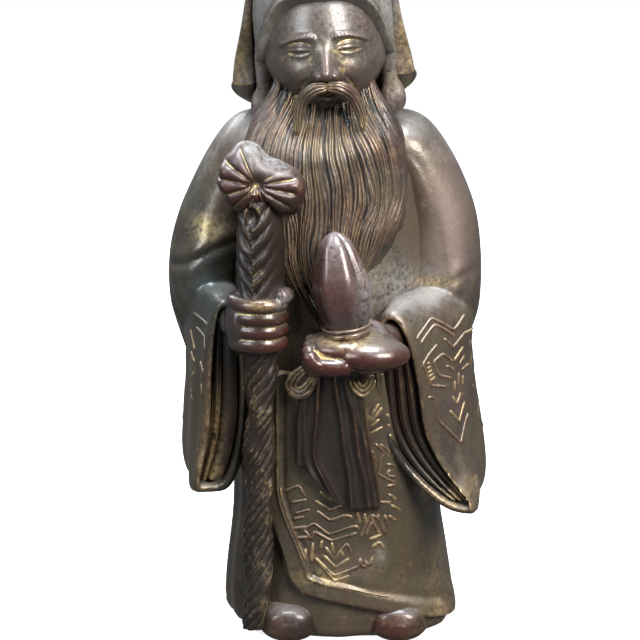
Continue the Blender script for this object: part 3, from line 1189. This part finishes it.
def staff_rings(depth):
    """The pole: twisted strands up to the fist, and above it overlapping leaves in front of a smooth trunk."""
    turn, t = cells(110, 420, ring=True)
    angle = turn * TURN
    z = lerp(3.0, STAFF_TOP, t)
    grip = GRIP[2]
    neck = (lerp(grip, STAFF_TOP, 0.6), 9.2)
    radius = through(((0, 5.0), (grip - 45, 5.3), (grip - 12, 5.8), (grip + 8, 8.2), neck, (STAFF_TOP, 7.6)), z)
    big = np.cos(2 * angle - 3.5 * TURN * z / grip)
    below = 1 - smooth(z, grip - 14, grip)
    strand = angle * 9 / TURN
    lay = 9 * angle - TURN * z / 5.2 + 1.3 * ripple(strand, z / 9, 71)
    rope = np.abs(np.sin(lay / 2)) ** 0.6 * (0.9 + 0.5 * ripple(strand, z / 5, 73))
    aside = wrapped(angle - math.radians(250))
    far = np.abs(aside)
    vine = ridged(z / 6.6 - 1.4 * far + 0.3 * np.sign(aside)) ** 0.6
    vein = 0.2 * ridged(z / 1.6 - 5.4 * far)
    leaf = 1.3 * vine + vein + 0.25 * bell(aside, 0.13) + 0.3 * ripple(strand, z / 4, 77)
    leaf = leaf * bell(aside, np.where(aside < 0, 1.2, 0.62))
    knot = np.sqrt((aside * radius / 2.6) ** 2 + ((z - STAFF_TOP + 9) / 4.2) ** 2)
    hole = 0.9 * bell(knot - 1, 0.25) - 1.6 * bell(knot, 0.75)
    out = radius * (1 + (0.12 * below + 0.03) * big) + below * depth * (rope - 0.5)
    out = out + (1 - below) * (depth * 1.9 * (leaf - 0.5) * (1 - bell(knot, 1.2)) + hole)
    shift = 1.1 * smooth(z, grip, grip + 14)
    return staff_centre(z) + np.stack([shift + out * np.cos(angle), out * np.sin(angle), 0 * z], -1)


def crook_rings(depth):
    """The crook: upright ovals along a bent knot, with ribs on its front that fan out from a pinch."""
    seat = staff_centre(np.array(STAFF_TOP))
    turn, t = cells(170, 190, (0, 0), (TURN, 1), ring=True)
    t = eased(t)
    ends = dome(np.minimum(t, 1 - t), 0.1, 0.001)
    rise = curve((0.25, 0.72, 0.98, 0.95, 0.72, 0.62, 0.5, 0.3), t) * 15 * ends
    drop = curve((0.2, 0.85, 1, 0.75, 0.7, 0.95, 0.9, 0.5), t) * 11 * ends
    c, s = oval(turn, 2.2)
    x = seat[0] + 32 * (t - 0.46)
    y = seat[1] - c * np.where(c > 0, 9.5, 7.6) * lerp(0.45, 1, ends)
    z = STAFF_TOP + 11 * (0.36 - 0.32 * t) + s * np.where(s > 0, rise, drop)
    ahead = smooth(c, 0.05, 0.6)
    away, up = x - seat[0] + 0.5, z - STAFF_TOP - 3.0
    reach = np.hypot(away, up)
    bearing = np.arctan2(up, np.abs(away))
    ribs = np.abs(np.cos(bearing * np.where(away < 0, 6.4, 8.0) + np.where(away < 0, 0.5, 0.2))) ** 0.55
    top = np.where(away < 0, smooth(bearing, 1.0, 1.4), smooth(bearing, 0.3, 0.6))
    fan = within(reach, 0.8, 4.0, 12.5, 16) * (1 - top)
    pinch = 3.0 * bell(reach, 3.0)
    rings = np.stack([x, y + ahead * pinch, z], -1)
    lumps = 0.5 * ripple(x / 5, z / 5, 81)
    return raised(rings, ahead * fan * depth * 1.7 * (ribs - 0.6) + lumps * ends)


def peach_skins():
    """The peach: a pointed egg turned about its leaning axis, with one seam and two rings of brass round its foot."""
    turn, t = cells(140, 130, (0, 0), (TURN, 1), ring=True)
    t = eased(t)
    stations = (
        (0, 0.62), (0.08, 0.68), (0.14, 0.75), (0.28, 0.91), (0.45, 1.03),
        (0.57, 1), (0.72, 0.84), (0.87, 0.63), (0.94, 0.48), (1, 0.36),
    )
    swell = through(stations, t) * dome(1 - t, 0.1) * dome(t, 0.06)
    aside, facet = wrapped(turn + math.radians(48)), wrapped(turn + math.radians(122))
    seam = 0.7 * bell(np.abs(aside) - 0.45, 0.28) - bell(aside, 0.15)
    seam = seam + 0.7 * bell(facet, 0.24) - 0.4 * bell(facet + 0.5, 0.3)
    radius = np.maximum((PEACH_RADIUS + seam + 0.12 * ripple(turn * 2, t * 5, 91)) * swell, 0.05)

    def leaned(reach, angle, z):
        return PEACH + tilted(np.stack([reach * np.cos(angle), reach * np.sin(angle), z], -1), PEACH_LEAN)

    small, around = np.meshgrid(*(np.linspace(0, TURN, count, endpoint=False) for count in (20, 90)))
    hoops = [
        leaned(reach + thick * np.cos(small), around, high + thick * np.sin(small))
        for reach, thick, high in ((7.9, 0.95, 4.2), (8.5, 0.65, 6.2))
    ]
    return [ring_skin(leaned(radius, turn, PEACH_LENGTH * t))], hoops


def right_hand_skins():
    """The fist: the back of the hand, four fingers stacked round the staff, a thumb over them and a wrist."""
    ring, pitch = STAFF_GRIP * 1.14 + 2.9 * 0.75, 4.9
    finger = ((0, 3.1), (0.3, 3.3), (0.5, 2.8), (0.72, 3.05), (0.86, 2.7), (1, 2.5))

    def around(turns, z, wider=0.0):
        a = np.radians(np.array(turns, float))
        reach = ring + wider
        return np.stack([GRIP[0] + reach * np.cos(a), GRIP[1] - reach * np.sin(a), 0 * a + z], -1)

    skins = []
    for i, tip in enumerate((12, 0, 4, 14)):
        path = around((225, 190, 155, 120, 85, 50, tip), GRIP[2] + pitch * (1.5 - i))
        skins.append(ring_skin(tube(path, finger, 90, 32, 0.07, flat=0.86)))
    back = ball((GRIP[0] - ring * 0.72, GRIP[1] + 0.5, GRIP[2] - 0.8), (6.4, 10.4, 12.2), 60, 40)
    inside = np.array((*CUFFS[RIGHT][:2] + (1, 9), GRIP[2] - 2))
    middle = back.mean((0, 1))
    wrist = tube([inside, lerp(inside, middle, 0.5), middle], ((0, 5.4), (1, 7.6)), 40, 40, 0.1)
    top = GRIP[2] + pitch * 2.15
    thumb = (((200,), top - 4), ((250, 300, 345), top - 1.5, -0.6), ((385, 412), top, 0.4))
    thumb = np.concatenate([around(*part) for part in thumb])
    skins += [ring_skin(back), ring_skin(wrist)]
    skins.append(ring_skin(tube(thumb, ((0, 3.2), (0.6, 3.0), (0.85, 3.2), (1, 2.6)), 90, 32, 0.08)))
    return skins


def left_hand_skins():
    """The open hand: a shallow bowl of palm under the peach, a broad heel, four curled fingers and a thumb."""

    def at(x, y, z):
        return PEACH + np.array((x, y, z))

    palm = ring_skin(ball(at(1, 2, -2), (18, 13, 6.6), 70, 40))
    heel = ring_skin(ball(at(8.0, -3.4, -3.6), (14.6, 10.4, 6.6), 70, 40))
    fingers = ring_skin(ball(at(-6.0, 0, -3.8), (9, 8.6, 5.4), 60, 40))
    inside = np.array((*CUFFS[LEFT][:2] + (1, 8), PEACH[2] - 1))
    start = at(6, 2.5, -2.8)
    wrist = tube([start, lerp(start, inside, 0.6), inside], ((0, 7), (0.6, 6.4), (1, 5.6)), 40, 40, 0.1)
    skins = [palm, heel, fingers, ring_skin(wrist)]
    finger = ((0, 3.2), (0.35, 3.4), (0.55, 3), (0.75, 3.1), (1, 2.5))
    for i, y in enumerate((-9.2, -4.6, 0.0, 4.4)):
        reach, lift = -16.4 + 1.0 * abs(i - 1.2), 1.1 * i
        path = ((1, -6.4), (-6, -7.2 + 0.3 * lift), (-12.6, -5.8 + 0.7 * lift), (reach, -1.2 + lift))
        path = [at(x, y, z) for x, z in path]
        skins.append(ring_skin(tube(path, finger, 60, 28, 0.1)))
    thumb = (at(13, 2, -1), at(11, 8, 2.6), at(5, 11.5, 4.4))
    skins.append(ring_skin(tube(thumb, ((0, 3.6), (1, 2.6)), 40, 28, 0.12)))
    return skins


# Finish


class Field:
    """A value in a material's nodes. Arithmetic on it adds Math nodes."""

    def __init__(self, tree, output=None):
        self.tree, self.output = tree, output

    def node(self, kind, settings, values, out=0):
        """Adds a node: its settings first, then its sockets' values or links. Gives one of its outputs."""
        made = self.tree.nodes.new(kind)
        for name, value in settings.items():
            setattr(made, name, value)
        for socket, value in values.items():
            if isinstance(value, Field):
                self.tree.links.new(value.output, made.inputs[socket])
            else:
                made.inputs[socket].default_value = value
        return Field(self.tree, made.outputs[out])

    def math(self, operation, *values):
        return self.node("ShaderNodeMath", {"operation": operation}, dict(enumerate(values)))

    def __add__(self, other):
        return self.math("ADD", self, other)

    def __sub__(self, other):
        return self.math("SUBTRACT", self, other)

    def __rsub__(self, other):
        return self.math("SUBTRACT", other, self)

    def __mul__(self, other):
        return self.math("MULTIPLY", self, other)

    def __neg__(self):
        return self.math("MULTIPLY", self, -1.0)

    __radd__, __rmul__ = __add__, __mul__

    def ramp(self, low, high):
        """An S-curve that is 0 below `low` and 1 above `high`."""
        settings = {"interpolation_type": "SMOOTHSTEP"}
        return self.node("ShaderNodeMapRange", settings, {0: self, 1: low, 2: high, 3: 0.0, 4: 1.0})

    def most(self, other):
        return self.math("MAXIMUM", self, other)

    def mix(self, low, high):
        """From the colour `low` to `high` by this share."""
        return self.node("ShaderNodeMix", {"data_type": "RGBA"}, {0: self, 6: low, 7: high}, 2)


# How each finish wears: the bends of edges and of grooves between which bare brass shows, then shares of the layers
WEAR = ("edge", "groove", "thin", "red", "dust", "bloom", "gild", "rub", "dull", "coat", "cling")
NOWHERE = (9.0, 10.0)
LOOKS = {
    "patina_cloth": ((0.16, 0.5), NOWHERE, 0.03, 0.04, 1.0, 0.12, 0.0, 0.55, 0.0, 0.25, 1.0),
    "patina_cap": ((0.16, 0.5), NOWHERE, 0.12, 0.0, 0.5, 0.6, 0.0, 0.4, 0.0, 0.25, 1.0),
    "patina_skin": (NOWHERE, (0.1, 0.4), -0.1, 0.14, 0.4, 0.0, 1.0, 0.2, -0.07, 0.6, 1.0),
    "patina_face": (NOWHERE, (0.1, 0.4), 0.06, 0.12, 0.6, 0.4, 1.2, 0.25, -0.06, 0.4, 1.0),
    "patina_fruit": (NOWHERE, (0.2, 0.5), -0.06, 0.24, 0.9, 0.12, 0.3, 0.1, -0.1, 0.8, 1.0),
    "patina_hair": ((0.36, 1.1), NOWHERE, -0.06, 0.06, 0.5, 0.12, 0.0, 0.2, 0.0, 0.25, 0.15),
    "patina_staff": (NOWHERE, (0.1, 0.4), -0.5, 0.04, 0.3, 0.0, 0.6, 0.15, 0.03, 0.2, 1.0),
    "patina_hood": ((0.12, 0.42), NOWHERE, 0.1, 0.0, 0.6, 0.35, 0.0, 0.6, 0.0, 0.25, 1.0),
    "patina_pole": ((0.19, 0.5), (0.2, 0.6), -0.5, -0.08, 0.2, 0.0, 0.7, 0.25, 0.1, 0.25, 1.0),
    "patina_shoe": ((0.3, 0.8), (0.2, 0.5), -0.12, 0.06, 0.7, 0.0, 0.3, 0.3, 0.0, 0.5, 1.0),
    "patina_lining": ((0.5, 1.4), NOWHERE, -0.28, -0.18, 0.2, 0.0, 0.0, 0.15, 0.05, 0.2, 1.0),
}


def patina(name):
    """Cast brass under a dark glaze: brown to red by chance and by bulge, dust on top, bare metal where it is worn.

    Bends come from the piece's own fields, and all chance from noise in the object's own space.
    """
    title = f"worn_{name}"
    if title in bpy.data.materials:
        return bpy.data.materials[title]
    finish, look = bpy.context.scene.elder_finish, dict(zip(WEAR, LOOKS[name]))
    material = bpy.data.materials.new(title)
    material.use_nodes = True
    tree = material.node_tree
    glaze = tree.nodes["Principled BSDF"]
    start = Field(tree)
    place = start.node("ShaderNodeTexCoord", {}, {}, "Object")

    def noise(size, detail):
        values = {"Vector": place, "Scale": MM / size, "Detail": detail, "Roughness": 0.55}
        return start.node("ShaderNodeTexNoise", {}, values)

    def bend(field):
        return start.node("ShaderNodeAttribute", {"attribute_name": field}, {}, "Fac")

    cloud, patch, grain, speck = noise(30, 3.0), noise(9, 4.0), noise(1.7, 4.0), noise(0.55, 2.0)
    smear = noise(17, 5.0)
    sharp, broad = bend("sharp"), bend("broad")
    normal = start.node("ShaderNodeNewGeometry", {}, {}, "Normal")
    up = start.node("ShaderNodeSeparateXYZ", {}, {0: normal}, 2)

    thin = cloud * 0.55 + patch * 0.4 + grain * 0.15 + broad * 0.8 + bend("warm") * 0.16 + look["thin"]
    thin = thin.ramp(0.42, 0.78)
    colour = thin.mix(finish.dark, finish.olive)
    red = (smear * 0.8 + patch * 0.2 + broad * 1.2 + look["red"]).ramp(0.5, 0.85)
    colour = (red * 0.85).mix(colour, finish.red)
    for layer, chance, gain, base, tint in (
        ("mauve", smear, 0.9, 0.25, finish.mauve),
        ("crimson", smear, 0.7, 0.35, finish.red),
        ("dark", cloud, 0.8, 0.35, finish.verdigris),
        ("teal", smear, 1.4, -0.2, finish.teal),
    ):
        colour = (bend(layer) * (chance * gain + base)).mix(colour, tint)
    bloom = ((cloud * 0.7 + grain * 0.5).ramp(0.42, 0.8) * 0.65 + 0.35) * look["bloom"]
    colour = bloom.mix(colour, finish.film)
    pit = (-1.0 * broad - 0.3 * sharp + patch * 0.12 - 0.06).ramp(0.04, 0.26)
    colour = (pit * (0.85 - 0.6 * min(look["gild"], 1))).mix(colour, finish.grime)
    dust = (up + patch * 0.9 - 0.45).ramp(0.3, 1.0) * ((grain * 0.9 + 0.45) * (look["dust"] * finish.dust))
    clung = bend("dusty") * ((grain * 0.8 + speck * 0.6).ramp(0.45, 0.85) * look["cling"])
    dust = (dust * (1 - bend("dark") * 0.7)).most(clung)
    colour = dust.mix(colour, finish.film)

    wander = (patch - 0.5) * 0.5 + (grain - 0.5) * 0.4
    chased = bend("chased")
    edge = (sharp + wander).ramp(*look["edge"]) * (1 - chased * 0.85) * (1 - bend("dark") * 0.85)
    groove = (-1.0 * sharp + wander).ramp(*look["groove"]) * (1 - bend("dark") * 0.7)
    line = chased * (patch * 1.1 + grain * 0.6 + up * 0.35 - 0.25).ramp(0.2, 0.8)
    gild = -2.4 * broad + (patch - 0.5) * 0.9 + (grain - 0.5) * 0.5 + (look["gild"] - 1) * 0.35
    gild = gild.ramp(0.16, 0.42) * min(look["gild"], 1)
    bare = edge.most(groove).most(line * 0.2).most(gild) * finish.wear
    rub = (smear * 0.85 + grain * 0.25 + broad * 0.4).ramp(0.64, 0.86) * look["rub"]
    bare = bare.most(rub).most(bend("rubbed") * (grain * 0.7 + patch * 0.7).ramp(0.5, 0.8))
    tarnish = (grain * 0.6 + smear * 0.6).ramp(0.35, 0.85)
    metal = tarnish.mix(finish.tarnish, finish.brass)
    colour = bare.mix(colour, metal)

    hide = (1 - dust) * (1 - bloom * 0.6)
    sheen = bare.most(thin * (1 - red * 0.6) * 0.65 + 0.2) * hide
    rough = patch * 0.26 + grain * 0.18 + dust * 0.45 + bend("mauve") * 0.28 - bend("dark") * 0.12
    rough = rough + (finish.gloss - 0.2 + look["dull"])
    height = patch * 1.6 + grain * 0.7 + speck * 0.4 + (speck.ramp(0.62, 0.72) * -0.6)
    relief = start.node("ShaderNodeBump", {}, {"Strength": 0.55, "Distance": 0.0003, "Height": height})
    for socket, value in (("Base Color", colour), ("Roughness", rough), ("Metallic", sheen), ("Normal", relief)):
        tree.links.new(value.output, glaze.inputs[socket])
    for socket, value in (("Specular IOR Level", 0.62), ("Coat Weight", look["coat"]), ("Coat Roughness", 0.16)):
        glaze.inputs[socket].default_value = value
    return material


# What a user may change


def colour_of(name, note, value):
    value = (*value, 1.0)
    return FloatVectorProperty(name=name, description=note, default=value, size=4, min=0, max=1, subtype="COLOR")


def length_of(name, note, value):
    return FloatProperty(name=name, description=note, default=value / MM, min=0, unit="LENGTH", precision=5)


def share_of(name, note, value):
    return FloatProperty(name=name, description=note, default=value, min=0, max=2, subtype="FACTOR")


def power_of(name, note, value):
    return FloatProperty(name=name, description=note, default=value, unit="POWER")


class ElderChasing(PropertyGroup):
    """Sizes of the chased and cast detail."""

    line: length_of("Line", "Half width of a chased line", 0.5)
    strand: length_of("Strand", "Height of a strand of the beard", 0.65)
    bark: length_of("Bark", "Depth of the staff's carving", 1.0)
    pleat: length_of("Pleat", "Height of the sash's pleats", 1.3)
    fold: share_of("Folds", "Strength of the folds in the cloth", 1.0)
    strands: IntProperty(name="Strands", description="Strands across the beard", default=44, min=8, max=80)


class ElderFinish(PropertyGroup):
    """Colours and wear of the patina."""

    dark: colour_of("Glaze", "Dark glaze", (0.03, 0.019, 0.014))
    olive: colour_of("Thin glaze", "Where brass shows through the glaze", (0.2, 0.155, 0.088))
    red: colour_of("Red glaze", "Red-brown glaze on rounded forms", (0.072, 0.017, 0.013))
    mauve: colour_of("Mauve glaze", "Pale red-grey glaze on arms and hem", (0.2, 0.135, 0.12))
    verdigris: colour_of("Green glaze", "Green-black glaze in shaded places", (0.026, 0.03, 0.027))
    teal: colour_of("Teal glaze", "Blue-green sheen on the right sleeve", (0.07, 0.11, 0.105))
    grime: colour_of("Grime", "Dirt in hollows", (0.008, 0.006, 0.0045))
    film: colour_of("Dust", "Dust on faces that look up", (0.3, 0.294, 0.288))
    brass: colour_of("Brass", "Bare metal", (0.74, 0.57, 0.29))
    tarnish: colour_of("Tarnish", "Dull metal", (0.34, 0.23, 0.1))
    wear: share_of("Wear", "How much metal is bare", 0.95)
    dust: share_of("Dust share", "How much dust lies on the figure", 0.62)
    gloss: share_of("Roughness", "Roughness of the glaze", 0.34)


class ElderStage(PropertyGroup):
    """The camera and the lights."""

    distance: length_of("Distance", "From the camera to the figure", 700)
    height: FloatProperty(
        name="Elevation", description="Camera's angle above level", default=math.radians(14), unit="ROTATION"
    )
    lens: FloatProperty(name="Lens", description="Focal length", default=SENSOR * FOCUS, unit="CAMERA")
    key: power_of("Key", "Power of the key light", 18.0)
    fill: power_of("Fill", "Power of the fill light", 4.0)
    top: power_of("Top", "Power of the light above", 15.0)
    room: share_of("Room", "Strength of the room's own light", 0.16)
    back: power_of("Back", "Power of the light behind", 7.0)


# Operators


class ELDER_OT_gown(Operator):
    """Casts the gown with its open hem"""

    bl_idname = "elder.gown"
    bl_label = "Gown"

    def execute(self, context):
        chasing = context.scene.elder_chasing
        cast("gown", "patina_cloth", [ring_skin(gown_rings(chasing.fold))])
        return {"FINISHED"}


class ELDER_OT_robe(Operator):
    """Casts the wrapped robe panel with its band and fret"""

    bl_idname = "elder.robe"
    bl_label = "Robe panel"

    def execute(self, context):
        chasing = context.scene.elder_chasing
        edge, hem = band_lines()
        half = chasing.line * MM
        lines = [wire(line, half * FRET_LINE) for line in fret_lines()]
        lines += [wire(edge, half * EDGE_LINE), wire(hem, half * HEM_LINE)]
        cast("robe_panel", "patina_cloth", [plate_skin(*panel_plate(chasing.fold))], lines=lines)
        return {"FINISHED"}


class ELDER_OT_sash(Operator):
    """Casts the sash: hanging ends, knot and bow"""

    bl_idname = "elder.sash"
    bl_label = "Sash"

    def execute(self, context):
        pleat = context.scene.elder_chasing.pleat * MM
        cast("sash_apron", "patina_cloth", [plate_skin(*apron_plate(pleat))], "patina_lining")
        cast("sash_knot", "patina_cloth", knot_skins())
        cast("sash_bow", "patina_cloth", bow_skins())
        return {"FINISHED"}


class ELDER_OT_shoes(Operator):
    """Casts both shoes"""

    bl_idname = "elder.shoes"
    bl_label = "Shoes"

    def execute(self, context):
        for name, side in SIDES.items():
            cast(f"{name}_shoe", "patina_cloth", [ring_skin(shoe_rings(side))], "patina_shoe")
        return {"FINISHED"}


class ELDER_OT_head(Operator):
    """Casts the head with its long ears"""

    bl_idname = "elder.head"
    bl_label = "Head"

    def execute(self, context):
        ears = [ring_skin(ear_rings(side)) for side in SIDES.values()]
        cast("head", "patina_skin", [ring_skin(head_rings()), *ears], "patina_face")
        return {"FINISHED"}


class ELDER_OT_cap(Operator):
    """Casts the cap: crown and stiff drape"""

    bl_idname = "elder.cap"
    bl_label = "Cap"

    def execute(self, context):
        cast("cap_crown", "patina_cloth", [ring_skin(cap_rings())], "patina_cap")
        cast("cap_drape", "patina_cloth", [plate_skin(*drape_plate())], "patina_hood")
        return {"FINISHED"}


class ELDER_OT_hair(Operator):
    """Casts the beard and the moustache"""

    bl_idname = "elder.hair"
    bl_label = "Beard and moustache"

    def execute(self, context):
        chasing = context.scene.elder_chasing
        cast("beard", "patina_hair", [ring_skin(beard_rings(chasing.strand * MM, chasing.strands))])
        cast("moustache", "patina_hair", [ring_skin(moustache_rings(side)) for side in SIDES.values()])
        return {"FINISHED"}


class ELDER_OT_sleeves(Operator):
    """Casts both sleeves with their brocade, and the folds of the under-sleeves in the cuffs"""

    bl_idname = "elder.sleeves"
    bl_label = "Sleeves"

    def execute(self, context):
        chasing = context.scene.elder_chasing
        half, fold = chasing.line * MM, chasing.fold
        for name, side in SIDES.items():
            skins = [ring_skin(arm_rings(side, fold)), ring_skin(drape_rings(side, fold))]
            lines = [wire(line, half * SLEEVE_LINE) for line in sleeve_lines(side, fold)]
            shade = rim_shade(side)
            cast(f"{name}_sleeve", "patina_cloth", skins, lines=lines, fuse=0.65, relax=12, shade=shade)
            front, back = lining_plate(side)
            lines = [wire(line, half * LINING_LINE) for line in lining_lines(side, front)]
            cast(f"{name}_lining", "patina_cloth", [plate_skin(front, back)], "patina_lining", lines)
        return {"FINISHED"}


class ELDER_OT_staff(Operator):
    """Casts the staff: pole and crook"""

    bl_idname = "elder.staff"
    bl_label = "Staff"

    def execute(self, context):
        bark = context.scene.elder_chasing.bark * MM
        cast("staff_pole", "patina_staff", [ring_skin(staff_rings(bark))], "patina_pole")
        cast("staff_crook", "patina_staff", [ring_skin(crook_rings(bark))])
        return {"FINISHED"}


class ELDER_OT_hands(Operator):
    """Casts both hands"""

    bl_idname = "elder.hands"
    bl_label = "Hands"

    def execute(self, context):
        cast("right_hand", "patina_skin", right_hand_skins(), fuse=0.4, relax=3)
        cast("left_hand", "patina_skin", left_hand_skins(), fuse=0.45, relax=4)
        return {"FINISHED"}


class ELDER_OT_peach(Operator):
    """Casts the peach"""

    bl_idname = "elder.peach"
    bl_label = "Peach"

    def execute(self, context):
        skins, hoops = peach_skins()
        cast("peach", "patina_skin", skins, "patina_fruit", hoops=hoops)
        return {"FINISHED"}


class ELDER_OT_stage(Operator):
    """Sets the pale floor, the lights and the camera"""

    bl_idname = "elder.stage"
    bl_label = "Stage"

    def execute(self, context):
        set_floor()
        set_lights(context.scene.elder_stage)
        set_camera(context.scene.elder_stage)
        return {"FINISHED"}


# Stage

# In metres: how far the floor reaches and how far it lies under the soles
FLOOR_REACH, FLOOR_DROP = 9, 0.0005
# In the figure's millimetres: what the camera looks at
TARGET = np.array((-2.7, 0, 119.4))


def set_floor():
    """A wide pale floor: a disc in rings about the figure, bright of itself so that it is as pale far off as near."""
    angle, share = cells(64, 12, (0, 0.02), (TURN, 1), ring=True)
    reach = FLOOR_REACH * share**2
    rings = np.stack([reach * np.cos(angle), reach * np.sin(angle), 0 * angle - FLOOR_DROP], -1)
    index = np.arange(angle.size).reshape(angle.shape)
    beside = np.roll(index, -1, axis=1)
    tiles = np.stack([index[:-1], index[1:], beside[1:], beside[:-1]], -1).reshape(-1, 4)
    mesh = bpy.data.meshes.new("floor")
    mesh.from_pydata(rings.reshape(-1, 3).tolist(), [], tiles.tolist() + [index[0].tolist()])
    floor = bpy.data.objects.new("floor", mesh)
    bpy.context.scene.collection.objects.link(floor)
    paper = bpy.data.materials.new("paper")
    paper.use_nodes = True
    sheet = paper.node_tree.nodes["Principled BSDF"].inputs
    pale, glow = (0.9, 0.9, 0.9, 1), (0.97, 0.985, 1.0, 1)
    values = (("Base Color", pale), ("Roughness", 0.9), ("Emission Color", glow), ("Emission Strength", 0.86))
    for socket, value in values:
        sheet[socket].default_value = value
    mesh.materials.append(paper)
    floor.visible_glossy = floor.visible_diffuse = False


def aim(thing, target):
    """Turns a lamp or the camera to look at a point."""
    ahead = np.array(target) - np.array(thing.location)
    yaw, pitch = math.atan2(-ahead[0], ahead[1]), math.atan2(ahead[2], math.hypot(ahead[0], ahead[1]))
    thing.rotation_euler = (math.pi / 2 + pitch, 0, yaw)


def set_lights(stage):
    """Soft boxes: a warm key to the upper right, a cool fill to the left, one above, one behind, and a pale world."""
    for name, place, target, size, power, colour in (
        ("key", (0.5, -0.75, 0.78), (0, 0, 0.15), 0.5, stage.key, (1.0, 0.97, 0.93)),
        ("fill", (-0.65, -0.6, 0.6), (0, 0, 0.18), 0.4, stage.fill, (0.84, 0.92, 1.0)),
        ("top", (0.0, -0.12, 1.0), (0, 0, 0.15), 0.4, stage.top, (0.84, 0.92, 1.0)),
        ("back", (-0.45, 0.85, 0.75), (0, 0, 0.14), 0.5, stage.back, (0.92, 0.96, 1.0)),
    ):
        lamp = bpy.data.lights.new(name, "AREA")
        lamp.shape, lamp.size, lamp.energy, lamp.color = "SQUARE", size, power, colour
        box = bpy.data.objects.new(name, lamp)
        box.location = place
        aim(box, target)
        bpy.context.scene.collection.objects.link(box)
    world = bpy.data.worlds.new("studio")
    world.use_nodes = True
    air = Field(world.node_tree)
    seen = air.node("ShaderNodeLightPath", {}, {}, "Is Camera Ray")
    sky = world.node_tree.nodes["Background"].inputs
    sky["Color"].default_value = (0.94, 0.97, 1.0, 1)
    world.node_tree.links.new((seen * (1 - stage.room) + stage.room).output, sky["Strength"])
    bpy.context.scene.world = world
    bpy.context.scene.view_settings.view_transform = "Standard"


def set_camera(stage):
    """The camera in front and a little above, at the photograph's distance."""
    lens = bpy.data.cameras.new("front")
    lens.lens, lens.sensor_width = stage.lens, SENSOR
    lens.clip_start = 0.01
    camera = bpy.data.objects.new("front", lens)
    target = (TARGET + SHIFT) / MM
    camera.location = target + stage.distance * np.array((0, -math.cos(stage.height), math.sin(stage.height)))
    aim(camera, target)
    bpy.context.scene.collection.objects.link(camera)
    bpy.context.scene.camera = camera


STEPS = ("gown", "robe", "sash", "shoes", "head", "cap", "hair", "sleeves", "staff", "hands", "peach", "stage")


class ELDER_PT_steps(Panel):
    """Lists the castings, the stage and what a user may change"""

    bl_idname = "ELDER_PT_steps"
    bl_label = "Standing elder"
    bl_space_type = "VIEW_3D"
    bl_region_type = "UI"
    bl_category = "Elder"

    def draw(self, context):
        for step in STEPS:
            self.layout.operator(f"elder.{step}")
        for group in (context.scene.elder_chasing, context.scene.elder_finish, context.scene.elder_stage):
            box = self.layout.box()
            for name in group.bl_rna.properties.keys():
                if name not in ("rna_type", "name"):
                    box.prop(group, name)


GROUPS = {"elder_chasing": ElderChasing, "elder_finish": ElderFinish, "elder_stage": ElderStage}
CLASSES = (
    *GROUPS.values(),
    ELDER_OT_gown,
    ELDER_OT_robe,
    ELDER_OT_sash,
    ELDER_OT_shoes,
    ELDER_OT_head,
    ELDER_OT_cap,
    ELDER_OT_hair,
    ELDER_OT_sleeves,
    ELDER_OT_staff,
    ELDER_OT_hands,
    ELDER_OT_peach,
    ELDER_OT_stage,
    ELDER_PT_steps,
)


def register():
    for kind in CLASSES:
        bpy.utils.register_class(kind)
    for name, group in GROUPS.items():
        setattr(bpy.types.Scene, name, PointerProperty(type=group))


def unregister():
    for name in GROUPS:
        delattr(bpy.types.Scene, name)
    for kind in reversed(CLASSES):
        bpy.utils.unregister_class(kind)


def main():
    register()
    for step in STEPS:
        getattr(bpy.ops.elder, step)()


if __name__ == "__main__":
    main()
